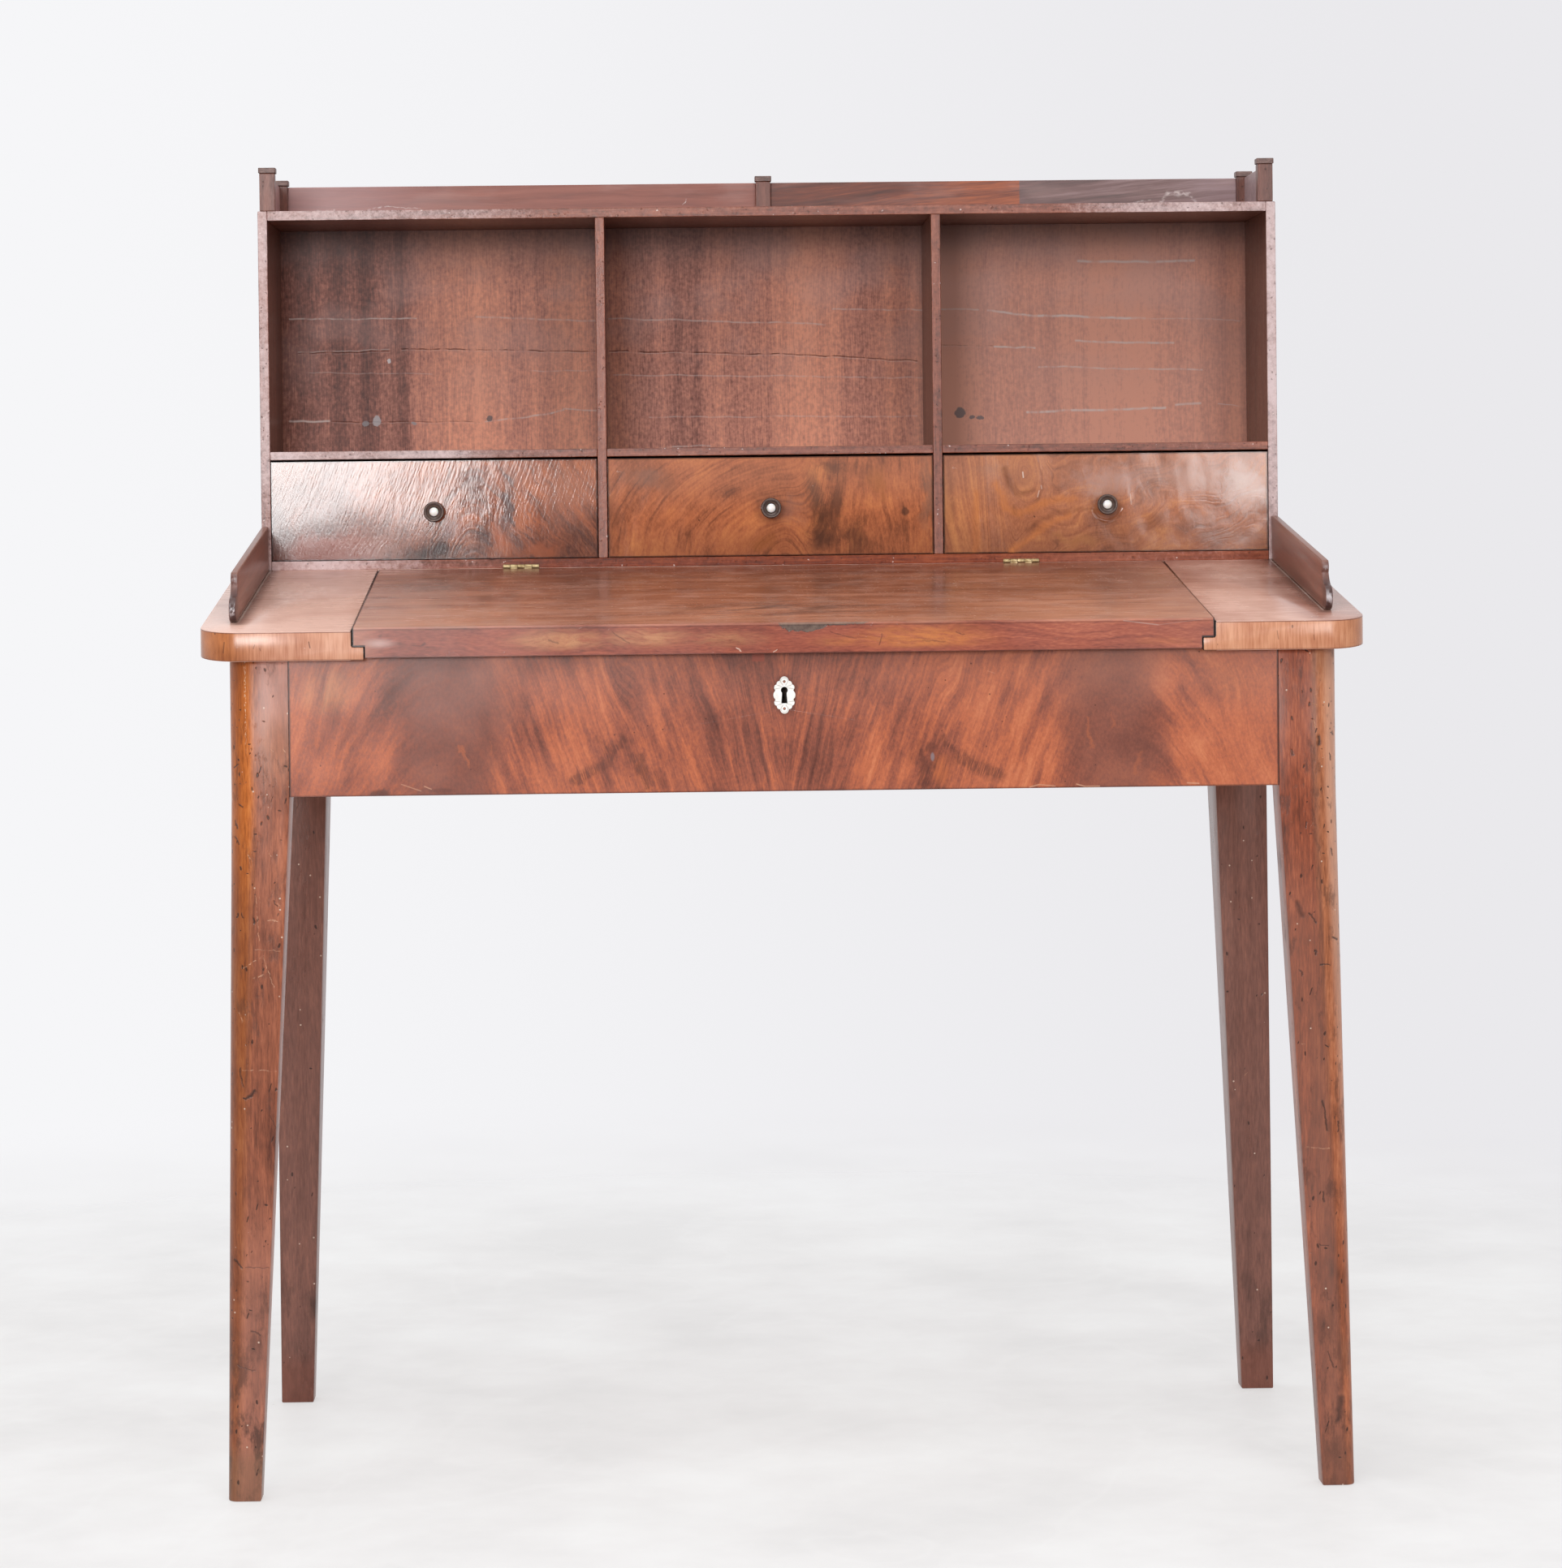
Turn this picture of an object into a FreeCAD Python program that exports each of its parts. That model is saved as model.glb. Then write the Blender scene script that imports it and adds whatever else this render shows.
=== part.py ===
# Bonheur du jour: a ladies' writing desk with a lift-up sloping top over a well,
# and an upper case of three open compartments over three drawers.
# Millimetres. +Z is up, the front faces -Y, and the origin lies on the floor
# at the middle of the plan. Depths are measured back from the top's front edge.
import math
import os

import FreeCAD
import Part

# Writing top
top_width = 1020.0
top_depth = 576.0
slope_run = 403.0
front_height = 761.0
rear_height = 812.7
board_thickness = 25.5
corner_radius = 36.0

# Lid, stepped at its ends over a tongue on each fixed board
fixed_board_width = 134.0
lid_thickness = 26.6
lid_lip = 17.0
lid_step = 10.7
lid_proud = 3.2
lid_gap = 0.8
tongue_gap = 0.4

# Legs
leg_side_inset = 25.0
leg_front_inset = 14.5
leg_rear_inset = 20.0
front_leg_width = 52.5
front_leg_depth = 46.0
front_leg_round = 22.0
front_foot_width = 28.9
front_foot_depth = 26.0
front_foot_round = 9.0
front_foot_splay = 9.5
rear_leg_width = 51.0
rear_leg_depth = 70.0
rear_foot_width = 31.0
rear_foot_depth = 28.0
rear_foot_forward = 10.0

# Aprons and well
apron_bottom = 616.6
apron_front_thickness = 20.0
apron_thickness = 18.0
apron_recess = 2.0
cleat_size = 12.0
cleat_rise = 2.0
well_floor_thickness = 8.0
joint_gap = 0.3

# Upper case
case_side_inset = 23.0
case_height = 343.2
case_side_thickness = 9.0
case_top_thickness = 9.0
case_bottom_thickness = 8.6
divider_thickness = 8.9
shelf_thickness = 7.8
drawer_bay_height = 96.9
back_thickness = 9.0
back_recess = 8.0

# Drawers
drawer_count = 3
drawer_side_gap = 0.7
drawer_top_gap = 2.0
drawer_bottom_gap = 0.6
drawer_front_thickness = 12.0
drawer_side_thickness = 6.0
drawer_back_thickness = 6.0
drawer_floor_thickness = 4.0
drawer_floor_rise = 4.0
drawer_side_drop = 6.0
drawer_rear_gap = 4.0
stop_height = 3.0
stop_width = 24.0
stop_depth = 10.0

# Drawer knobs
knob_diameter = 19.7
knob_neck_diameter = 10.5
knob_length = 19.0
knob_head_length = 9.0
knob_spigot_diameter = 7.0
knob_spigot_length = 8.0
knob_drop = 2.0
knob_dot_diameter = 8.6
knob_dot_depth = 2.5
knob_hollow_depth = 1.6
knob_rim = 2.6
knob_foot_spread = 1.8
knob_head_round = 2.2

# Butt hinges of the lid
hinge_length = 34.4
hinge_end_distance = 135.7
hinge_knuckles = 5
knuckle_diameter = 4.2
knuckle_gap = 0.3
hinge_pin_diameter = 2.2
hinge_pin_play = 0.05
leaf_thickness = 1.2
leaf_height = 18.0
screw_drop = 10.4
hinge_seam = 1.2
hinge_setback = 2.5
hinge_rise = 1.3
barrel_clearance = 0.4
screw_head_diameter = 5.0
screw_shank_diameter = 2.6
screw_head_height = 1.1
screw_length = 12.0
screw_spacing = 20.0

# Lock behind the keyhole, with a bolt that rises into the lid
lock_width = 62.0
lock_height = 46.0
lock_depth = 11.0
lock_wall = 1.5
lock_above_keyhole = 31.0
bolt_width = 22.0
bolt_thickness = 5.0
bolt_below_keyhole = 9.0
bolt_play = 0.4
bolt_withdrawn = 0.6
bolt_throw = 8.0
strike_width = 40.0
strike_depth = 16.0
strike_thickness = 1.2
keyhole_drop = 36.7
keyhole_diameter = 5.9
keyhole_slot_width = 3.4
keyhole_length = 14.3

# Escutcheon of bone, with a scalloped outline and two pins
escutcheon_width = 19.4
escutcheon_height = 32.7
escutcheon_thickness = 1.6
escutcheon_lobe = 3.4
escutcheon_bite = 1.4
escutcheon_lobe_angles = (90.0, 55.0, 28.0)
escutcheon_pin_spacing = 23.6
escutcheon_pin_diameter = 1.5
escutcheon_pin_length = 9.0

# Low side galleries on the writing top
wing_thickness = 6.5
wing_height = 42.0
wing_start = 53.0
wing_bulb_radius = 11.0
wing_cove_radius = 9.0
wing_nose_setback = 26.0
wing_nose_bulge = 4.0

# Gallery on top of the upper case
post_size = 14.4
post_height = 36.5
post_inset = 2.0
cap_size = 16.4
cap_height = 5.2
rail_height = 35.4
rail_thickness = 6.0
rail_recess = 1.0

# Derived places
half_top = top_width / 2
front = -top_depth / 2
rear = top_depth / 2
case_front = front + slope_run
case_half = half_top - case_side_inset
case_inner = case_half - case_side_thickness
case_top = rear_height + case_height
leg_outer = half_top - leg_side_inset
leg_front = front + leg_front_inset
leg_rear = rear - leg_rear_inset
front_leg_back = leg_front + front_leg_depth
rear_leg_front = leg_rear - rear_leg_depth
apron_outer = leg_outer - apron_recess
apron_inner = apron_outer - apron_thickness
apron_front_back = leg_front + apron_front_thickness
apron_rear_back = leg_rear - apron_recess
apron_rear_front = apron_rear_back - apron_thickness
well_floor_bottom = apron_bottom + cleat_rise + cleat_size
well_floor_top = well_floor_bottom + well_floor_thickness
board_inner = half_top - fixed_board_width
lid_half = board_inner - lid_gap
lid_lower_half = lid_half - lid_step
hinge_offset = lid_half - hinge_end_distance
tongue_inner = lid_lower_half + lid_gap
hinge_y = case_front - hinge_setback
hinge_z = rear_height + hinge_rise
lid_rear = hinge_y - hinge_seam / 2
board_rear = hinge_y + hinge_seam / 2
bay_bottom = rear_height + case_bottom_thickness
bay_top = bay_bottom + drawer_bay_height
compartment_bottom = bay_top + shelf_thickness
compartment_top = case_top - case_top_thickness
back_front = rear - back_recess - back_thickness
compartment_width = (2 * case_inner - 2 * divider_thickness) / drawer_count
divider_pitch = compartment_width + divider_thickness
knuckle_radius = knuckle_diameter / 2


def board_top(y):
    return front_height + (rear_height - front_height) * (y - front) / slope_run


def board_under(y):
    return board_top(y) - board_thickness


def lid_top(y):
    share = (case_front - y) / slope_run
    return board_top(y) + lid_proud * share


def lid_under(y):
    return lid_top(y) - lid_thickness


def lip_under(y):
    return lid_top(y) - lid_lip


def strike_upper(y):
    return lid_under(y) + strike_thickness


def tongue_top(y):
    return lip_under(y) - tongue_gap


keyhole_height = board_under(leg_front) - keyhole_drop


def box(x0, x1, y0, y1, z0, z1):
    corner = FreeCAD.Vector(x0, y0, z0)
    return Part.makeBox(x1 - x0, y1 - y0, z1 - z0, corner)


def cylinder(radius, length, start, direction):
    return Part.makeCylinder(radius, length, FreeCAD.Vector(*start), FreeCAD.Vector(*direction))


def side_prism(points, x0, x1):
    # a closed outline in Y and Z, run along X
    corners = [FreeCAD.Vector(x0, y, z) for y, z in points]
    face = Part.Face(Part.makePolygon(corners + corners[:1]))
    return face.extrude(FreeCAD.Vector(x1 - x0, 0, 0))


def sloped_slab(lower, upper, x0, x1, y0, y1):
    # a slab between two straight lines that give its height at any depth
    points = [(y0, lower(y0)), (y1, lower(y1)), (y1, upper(y1)), (y0, upper(y0))]
    return side_prism(points, x0, x1)


def mirrored(shape):
    return shape.mirror(FreeCAD.Vector(0, 0, 0), FreeCAD.Vector(1, 0, 0))


def group(shapes):
    return Part.makeCompound(shapes)


def rounded_rectangle_wire(x0, x1, y0, y1, radius, z):
    # a rectangle whose outer front corner, at x1 and y0, is a quarter round
    corners = [
        FreeCAD.Vector(x0, y0, z),
        FreeCAD.Vector(x1 - radius, y0, z),
        FreeCAD.Vector(x1, y0 + radius, z),
        FreeCAD.Vector(x1, y1, z),
        FreeCAD.Vector(x0, y1, z),
    ]
    slant = radius * math.sqrt(0.5)
    middle = FreeCAD.Vector(x1 - radius + slant, y0 + radius - slant, z)
    arc = Part.Arc(corners[1], middle, corners[2]).toShape()
    lines = [Part.makeLine(corners[2], corners[3]), Part.makeLine(corners[3], corners[4])]
    lines.append(Part.makeLine(corners[4], corners[0]))
    return Part.Wire([Part.makeLine(corners[0], corners[1]), arc] + lines)


def rectangle_wire(x0, x1, y0, y1, z):
    corners = [(x0, y0), (x1, y0), (x1, y1), (x0, y1), (x0, y0)]
    return Part.makePolygon([FreeCAD.Vector(x, y, z) for x, y in corners])


def under_boards():
    # everything below the undersides of the sloping and the level boards
    low = apron_bottom - rear_height
    level = rear_height - board_thickness
    points = [(front, low), (rear, low), (rear, level), (case_front, level), (front, board_under(front))]
    return side_prism(points, -half_top, half_top)


def front_leg_right():
    top = rear_height
    block = []
    for z in (top, apron_bottom):
        inner = leg_outer - front_leg_width
        block.append(rounded_rectangle_wire(inner, leg_outer, leg_front, front_leg_back, front_leg_round, z))
    foot_outer = leg_outer + front_foot_splay
    foot_inner = foot_outer - front_foot_width
    foot_back = leg_front + front_foot_depth
    foot = rounded_rectangle_wire(foot_inner, foot_outer, leg_front, foot_back, front_foot_round, 0)
    upper = Part.makeLoft(block, True, True)
    lower = Part.makeLoft([block[1], foot], True, True)
    return upper.fuse(lower).removeSplitter().common(under_boards())


def rear_leg_right():
    inner = leg_outer - rear_leg_width
    head = []
    for z in (rear_height, apron_bottom):
        head.append(rectangle_wire(inner, leg_outer, rear_leg_front, leg_rear, z))
    foot_front = rear_leg_front - rear_foot_forward
    foot_back = foot_front + rear_foot_depth
    foot = rectangle_wire(leg_outer - rear_foot_width, leg_outer, foot_front, foot_back, 0)
    upper = Part.makeLoft(head, True, True)
    lower = Part.makeLoft([head[1], foot], True, True)
    return upper.fuse(lower).removeSplitter().common(under_boards())


def bolt_place():
    # the bolt's front face and its top when withdrawn
    bolt_front = apron_front_back - lock_depth + lock_wall + bolt_play
    return bolt_front, board_under(bolt_front) - bolt_withdrawn


def lock_bolt():
    bolt_front, bolt_top = bolt_place()
    half = bolt_width / 2
    low = keyhole_height - bolt_below_keyhole
    return box(-half, half, bolt_front, bolt_front + bolt_thickness, low, bolt_top)


def keyhole(y0, y1):
    radius = keyhole_diameter / 2
    top = keyhole_height + keyhole_length / 2
    hole = cylinder(radius, y1 - y0, (0, y0, top - radius), (0, 1, 0))
    slot_half = keyhole_slot_width / 2
    slot = box(-slot_half, slot_half, y0, y1, top - keyhole_length, top - radius)
    return hole.fuse(slot)


def bolt_way():
    # the passage that the bolt runs in, up through the top edge of the apron
    bolt_front, bolt_top = bolt_place()
    half = bolt_width / 2 + bolt_play
    back = bolt_front + bolt_thickness + bolt_play
    low = keyhole_height - bolt_below_keyhole - bolt_play
    return box(-half, half, bolt_front - bolt_play, back, low, bolt_top + bolt_throw)


def lock_box():
    top = keyhole_height + lock_above_keyhole
    half = lock_width / 2
    return box(-half, half, apron_front_back - lock_depth, apron_front_back, top - lock_height, top)


def lock_case():
    return lock_box().cut(bolt_way()).cut(keyhole(apron_front_back - lock_depth, bolt_place()[0]))


def escutcheon_pins():
    pins = []
    for side in (-1, 1):
        z = keyhole_height + side * escutcheon_pin_spacing / 2
        start = (0, leg_front - escutcheon_thickness, z)
        pins.append(cylinder(escutcheon_pin_diameter / 2, escutcheon_pin_length, start, (0, 1, 0)))
    return group(pins)


def escutcheon():
    # an oval with smooth flanks and a scalloped head and tail
    y = leg_front - escutcheon_thickness
    half_width = escutcheon_width / 2
    half_height = escutcheon_height / 2
    rim_x = half_width - escutcheon_lobe
    rim_z = half_height - escutcheon_lobe
    centre = FreeCAD.Vector(0, y, keyhole_height)
    head = FreeCAD.Vector(0, y, keyhole_height + half_height - escutcheon_bite)
    flank = FreeCAD.Vector(half_width, y, keyhole_height)
    outline = Part.Ellipse(head, flank, centre)
    plate = Part.Face(Part.Wire(outline.toShape())).extrude(FreeCAD.Vector(0, escutcheon_thickness, 0))
    for degrees in escutcheon_lobe_angles:
        angle = math.radians(degrees)
        for side_x in (-1, 1):
            for side_z in (-1, 1):
                x = side_x * rim_x * math.cos(angle)
                z = keyhole_height + side_z * rim_z * math.sin(angle)
                plate = plate.fuse(cylinder(escutcheon_lobe, escutcheon_thickness, (x, y, z), (0, 1, 0)))
    plate = plate.removeSplitter().cut(keyhole(y, leg_front))
    return plate.cut(escutcheon_pins())


def apron_front():
    half = leg_outer - front_leg_width
    body = box(-half, half, leg_front, apron_front_back, apron_bottom, rear_height).common(under_boards())
    body = body.cut(lock_box()).cut(bolt_way()).cut(keyhole(leg_front, apron_front_back))
    return body.cut(escutcheon_pins())


def apron_right():
    body = box(apron_inner, apron_outer, front_leg_back, rear_leg_front, apron_bottom, rear_height)
    return body.common(under_boards())


def apron_back():
    half = leg_outer - rear_leg_width
    body = box(-half, half, apron_rear_front, apron_rear_back, apron_bottom, rear_height)
    return body.common(under_boards())


def well_cleats():
    low = apron_bottom + cleat_rise
    high = low + cleat_size
    half = leg_outer - max(front_leg_width, rear_leg_width) - joint_gap
    side = box(apron_inner - cleat_size, apron_inner, front_leg_back, rear_leg_front, low, high)
    front_cleat = box(-half, half, apron_front_back, apron_front_back + cleat_size, low, high)
    back_cleat = box(-half, half, apron_rear_front - cleat_size, apron_rear_front, low, high)
    return group([front_cleat, back_cleat, side, mirrored(side)])


def well_floor():
    half = apron_inner - joint_gap
    y0 = apron_front_back + joint_gap
    y1 = apron_rear_front - joint_gap
    board = box(-half, half, y0, y1, well_floor_bottom, well_floor_top)
    for width, depth0, depth1 in (
        (front_leg_width, y0, front_leg_back + joint_gap),
        (rear_leg_width, rear_leg_front - joint_gap, y1),
    ):
        notch = leg_outer - width - joint_gap
        corner = box(notch, half, depth0, depth1, well_floor_bottom, well_floor_top)
        board = board.cut(corner).cut(mirrored(corner))
    return board


def top_right():
    slab = sloped_slab(board_under, board_top, board_inner, half_top, front, board_rear)
    outline = rounded_rectangle_wire(board_inner, half_top, front, board_rear, corner_radius, 0)
    column = Part.Face(outline).extrude(FreeCAD.Vector(0, 0, case_top))
    tongue = sloped_slab(board_under, tongue_top, tongue_inner, board_inner, front, lid_rear)
    return slab.common(column).fuse(tongue).removeSplitter()


def knuckle_spans(sides):
    # the stretches of a hinge's length that its odd or even knuckles take up
    pitch = hinge_length / hinge_knuckles
    spans = []
    for index in range(hinge_knuckles):
        if index % 2 == sides:
            start = -hinge_length / 2 + index * pitch + knuckle_gap / 2
            spans.append((start, start + pitch - knuckle_gap))
    return spans


def hinge_leaf(sides, y0, y1):
    # a leaf let into a board's edge, with its own knuckles round the pin
    half = hinge_length / 2
    leaf = box(-half, half, y0, y1, hinge_z - leaf_height, hinge_z)
    for start, end in knuckle_spans(1 - sides):
        room = (start - knuckle_gap, hinge_y, hinge_z)
        reach = end - start + 2 * knuckle_gap
        leaf = leaf.cut(cylinder(knuckle_radius + barrel_clearance, reach, room, (1, 0, 0)))
    for start, end in knuckle_spans(sides):
        leaf = leaf.fuse(cylinder(knuckle_radius, end - start, (start, hinge_y, hinge_z), (1, 0, 0)))
    return leaf.removeSplitter().cut(hinge_pin(hinge_pin_play))


def hinge_pin(play=0.0):
    half = hinge_length / 2
    return cylinder(hinge_pin_diameter / 2 + play, hinge_length, (-half, hinge_y, hinge_z), (1, 0, 0))


def hinge_screw(x, y, direction):
    # a countersunk wood screw whose head lies flush in the leaf
    z = hinge_z - screw_drop
    start = FreeCAD.Vector(x, y, z)
    along = FreeCAD.Vector(0, direction, 0)
    head = Part.makeCone(
        screw_head_diameter / 2, screw_shank_diameter / 2, screw_head_height, start, along
    )
    shank = cylinder(screw_shank_diameter / 2, screw_length, tuple(start), (0, direction, 0))
    return head.fuse(shank).removeSplitter()


def at_hinges(shape):
    places = []
    for side in (-1, 1):
        moved = shape.copy()
        moved.translate(FreeCAD.Vector(side * hinge_offset, 0, 0))
        places.append(moved)
    return places


def hinge_screws(y, direction):
    screws = []
    for side in (-1, 1):
        screws += at_hinges(hinge_screw(side * screw_spacing / 2, y, direction))
    return screws


def barrel_room():
    half = hinge_length / 2 + knuckle_gap
    start = (-half, hinge_y, hinge_z)
    return at_hinges(cylinder(knuckle_radius + barrel_clearance, 2 * half, start, (1, 0, 0)))


def leaf_room(y0, y1):
    half = hinge_length / 2
    return at_hinges(box(-half, half, y0, y1, hinge_z - leaf_height, hinge_z))


def top_rear():
    # level under the case, with its front edge planed to the slope
    low = rear_height - board_thickness
    points = [(board_rear, low), (rear, low), (rear, rear_height), (case_front, rear_height)]
    board = side_prism(points + [(board_rear, board_top(board_rear))], -half_top, half_top)
    for space in barrel_room() + leaf_room(board_rear, board_rear + leaf_thickness):
        board = board.cut(space)
    for screw in hinge_screws(board_rear, 1):
        board = board.cut(screw)
    return board


def strike_place():
    middle = bolt_place()[0] + bolt_thickness / 2
    return middle - strike_depth / 2, middle + strike_depth / 2


def strike_plate():
    y0, y1 = strike_place()
    half = strike_width / 2
    return sloped_slab(lid_under, strike_upper, -half, half, y0, y1)


def strike_slot():
    bolt_front, bolt_top = bolt_place()
    half = bolt_width / 2 + bolt_play
    y0 = bolt_front - bolt_play
    y1 = bolt_front + bolt_thickness + bolt_play
    return box(-half, half, y0, y1, bolt_top, bolt_top + bolt_throw + bolt_play)


def writing_lid():
    upper = sloped_slab(lip_under, lid_top, -lid_half, lid_half, front, lid_rear)
    lower = sloped_slab(lid_under, lip_under, -lid_lower_half, lid_lower_half, front, lid_rear)
    body = upper.fuse(lower).removeSplitter()
    for space in barrel_room() + leaf_room(lid_rear - leaf_thickness, lid_rear):
        body = body.cut(space)
    for screw in hinge_screws(lid_rear, -1):
        body = body.cut(screw)
    return body.cut(strike_plate()).cut(strike_slot())


def hinge_leaves(sides, y0, y1, screws):
    leaves = []
    for leaf in at_hinges(hinge_leaf(sides, y0, y1)):
        for screw in screws:
            leaf = leaf.cut(screw)
        leaves.append(leaf)
    return group(leaves)


def case_side_right():
    return box(case_inner, case_half, case_front, rear, rear_height, case_top)


def case_board(z0, z1):
    return box(-case_inner, case_inner, case_front, rear, z0, z1)


def divider(side):
    middle = side * divider_pitch / 2
    half = divider_thickness / 2
    return box(middle - half, middle + half, case_front, back_front, bay_bottom, compartment_top)


def bay_middle(index):
    return (index - (drawer_count - 1) / 2) * divider_pitch


def shelf(index):
    middle = bay_middle(index)
    half = compartment_width / 2
    return box(middle - half, middle + half, case_front, back_front, bay_top, compartment_bottom)


def back_panel():
    y1 = rear - back_recess
    return box(-case_inner, case_inner, back_front, y1, bay_bottom, compartment_top)


drawer_outer_half = compartment_width / 2 - drawer_side_gap
drawer_low = bay_bottom + drawer_bottom_gap
drawer_high = bay_top - drawer_top_gap
drawer_front_back = case_front + drawer_front_thickness
drawer_rear = back_front - drawer_rear_gap
drawer_floor_top = drawer_low + drawer_floor_rise + drawer_floor_thickness
drawer_side_top = drawer_high - drawer_side_drop
knob_z = (drawer_low + drawer_high) / 2 - knob_drop


def knob_spigot(middle):
    length = knob_spigot_length
    return cylinder(knob_spigot_diameter / 2, length, (middle, case_front, knob_z), (0, 1, 0))


def drawer_front(middle):
    x0 = middle - drawer_outer_half
    x1 = middle + drawer_outer_half
    return box(x0, x1, case_front, drawer_front_back, drawer_low, drawer_high).cut(knob_spigot(middle))


def drawer_sides(middle):
    sides = []
    for x0 in (middle - drawer_outer_half, middle + drawer_outer_half - drawer_side_thickness):
        x1 = x0 + drawer_side_thickness
        sides.append(box(x0, x1, drawer_front_back, drawer_rear, drawer_low, drawer_side_top))
    return group(sides)


def drawer_back(middle):
    half = drawer_outer_half - drawer_side_thickness
    y0 = drawer_rear - drawer_back_thickness
    return box(middle - half, middle + half, y0, drawer_rear, drawer_floor_top, drawer_side_top)


def drawer_floor(middle):
    half = drawer_outer_half - drawer_side_thickness
    low = drawer_low + drawer_floor_rise
    return box(middle - half, middle + half, drawer_front_back, drawer_rear, low, drawer_floor_top)


def knob_dot(middle):
    y0 = case_front - knob_length + knob_hollow_depth - knob_dot_depth / 2
    return cylinder(knob_dot_diameter / 2, knob_dot_depth, (middle, y0, knob_z), (0, 1, 0))


def knob(middle):
    # turned outline: distance from the drawer front against radius
    head = knob_diameter / 2
    neck = knob_neck_diameter / 2
    tip = knob_length
    shoulder = tip - knob_head_length
    points = [
        (0, 0),
        (0, neck + knob_foot_spread),
        (knob_foot_spread * 2, neck),
        (shoulder - knob_head_round, neck),
        (shoulder, head - knob_head_round),
        (shoulder + knob_head_round * 1.5, head),
        (tip - knob_head_round, head - knob_head_round / 8),
        (tip, head - knob_rim),
        (tip - knob_hollow_depth, head - 2 * knob_rim),
        (tip - knob_hollow_depth, 0),
        (0, 0),
    ]
    outline = [FreeCAD.Vector(middle + r, case_front - out, knob_z) for out, r in points]
    axis = FreeCAD.Vector(middle, case_front, knob_z)
    turned = Part.Face(Part.makePolygon(outline)).revolve(axis, FreeCAD.Vector(0, 1, 0), 360)
    turned = turned.fuse(knob_spigot(middle)).removeSplitter()
    return turned.cut(knob_dot(middle))


def drawer_stops():
    stops = []
    for index in range(drawer_count):
        for side in (-1, 1):
            middle = bay_middle(index) + side * compartment_width / 4
            x0 = middle - stop_width / 2
            y0 = drawer_front_back + joint_gap
            stop = box(x0, x0 + stop_width, y0, y0 + stop_depth, bay_bottom, bay_bottom + stop_height)
            stops.append(stop)
    return group(stops)


def wing_right():
    # the front end, from its foot up: a round bulb, a cove, then a nose set back
    foot = front + wing_start
    bulb = wing_bulb_radius
    cove = wing_cove_radius
    nose = wing_height - 2 * bulb - cove
    nose_front = foot + wing_nose_setback

    def place(y, rise):
        return FreeCAD.Vector(case_half, y, board_top(y) + rise)

    points = [
        place(foot + bulb, 0),
        place(foot, bulb),
        place(foot + bulb, 2 * bulb),
        place(foot + bulb + cove * 0.7, 2 * bulb + cove * 0.3),
        place(nose_front - wing_nose_bulge / 2, wing_height - nose),
        place(nose_front - wing_nose_bulge, wing_height - nose / 2),
        place(nose_front, wing_height),
        place(case_front, wing_height),
        place(case_front, 0),
    ]
    ends = [
        Part.Arc(points[0], points[1], points[2]).toShape(),
        Part.Arc(points[2], points[3], points[4]).toShape(),
        Part.Arc(points[4], points[5], points[6]).toShape(),
    ]
    straight = Part.makePolygon([points[6], points[7], points[8], points[0]])
    outline = Part.Wire(ends + straight.Edges)
    return Part.Face(outline).extrude(FreeCAD.Vector(-wing_thickness, 0, 0))


post_places = []
for place_x in (-1, 1):
    for place_y in (case_front + post_inset, rear - post_inset - post_size):
        corner_x = place_x * (case_half - post_inset - post_size / 2) - post_size / 2
        post_places.append((corner_x, place_y))
post_places.append((-post_size / 2, rear - post_inset - post_size))
post_top = case_top + post_height
rail_top = case_top + rail_height


def gallery_posts():
    posts = []
    for x, y in post_places:
        posts.append(box(x, x + post_size, y, y + post_size, case_top, post_top))
    return group(posts)


def gallery_caps():
    caps = []
    lip = (cap_size - post_size) / 2
    for x, y in post_places:
        x0 = x - lip
        y0 = y - lip
        caps.append(box(x0, x0 + cap_size, y0, y0 + cap_size, post_top, post_top + cap_height))
    return group(caps)


def gallery_back_rail():
    x0 = post_size / 2
    x1 = case_half - post_inset - post_size
    y1 = rear - post_inset - rail_recess
    return box(x0, x1, y1 - rail_thickness, y1, case_top, rail_top)


def gallery_side_rail():
    x1 = case_half - post_inset - rail_recess
    y0 = case_front + post_inset + post_size
    y1 = rear - post_inset - post_size
    return box(x1 - rail_thickness, x1, y0, y1, case_top, rail_top)


def save(name, shape):
    shape.exportStep("parts/" + name + ".step")


def save_pair(name, right):
    save(name + "_right", right)
    save(name + "_left", mirrored(right))


os.makedirs("parts", exist_ok=True)
save_pair("leg_front", front_leg_right())
save_pair("leg_rear", rear_leg_right())
save("apron_front", apron_front())
save("apron_back", apron_back())
save_pair("apron_side", apron_right())
save("well_floor", well_floor())
save("well_cleats", well_cleats())
save_pair("top_board", top_right())
save("top_board_rear", top_rear())
save("writing_lid", writing_lid())
fixed_screws = hinge_screws(board_rear, 1)
lid_screws = hinge_screws(lid_rear, -1)
save("hinge_leaves_fixed", hinge_leaves(0, board_rear, board_rear + leaf_thickness, fixed_screws))
save("hinge_leaves_lid", hinge_leaves(1, lid_rear - leaf_thickness, lid_rear, lid_screws))
save("hinge_pins", group(at_hinges(hinge_pin())))
save("hinge_screws_fixed", group(fixed_screws))
save("hinge_screws_lid", group(lid_screws))
save("lock_case", lock_case())
save("lock_bolt", lock_bolt())
save("lock_strike", strike_plate().cut(strike_slot()))
save("escutcheon", escutcheon())
save("escutcheon_pins", escutcheon_pins())
save_pair("case_side", case_side_right())
save("case_bottom", case_board(rear_height, bay_bottom))
save("case_top", case_board(compartment_top, case_top))
save("case_back", back_panel())
save("divider_left", divider(-1))
save("divider_right", divider(1))
save("drawer_stops", drawer_stops())
save_pair("wing", wing_right())
save("gallery_posts", gallery_posts())
save("gallery_caps", gallery_caps())
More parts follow.
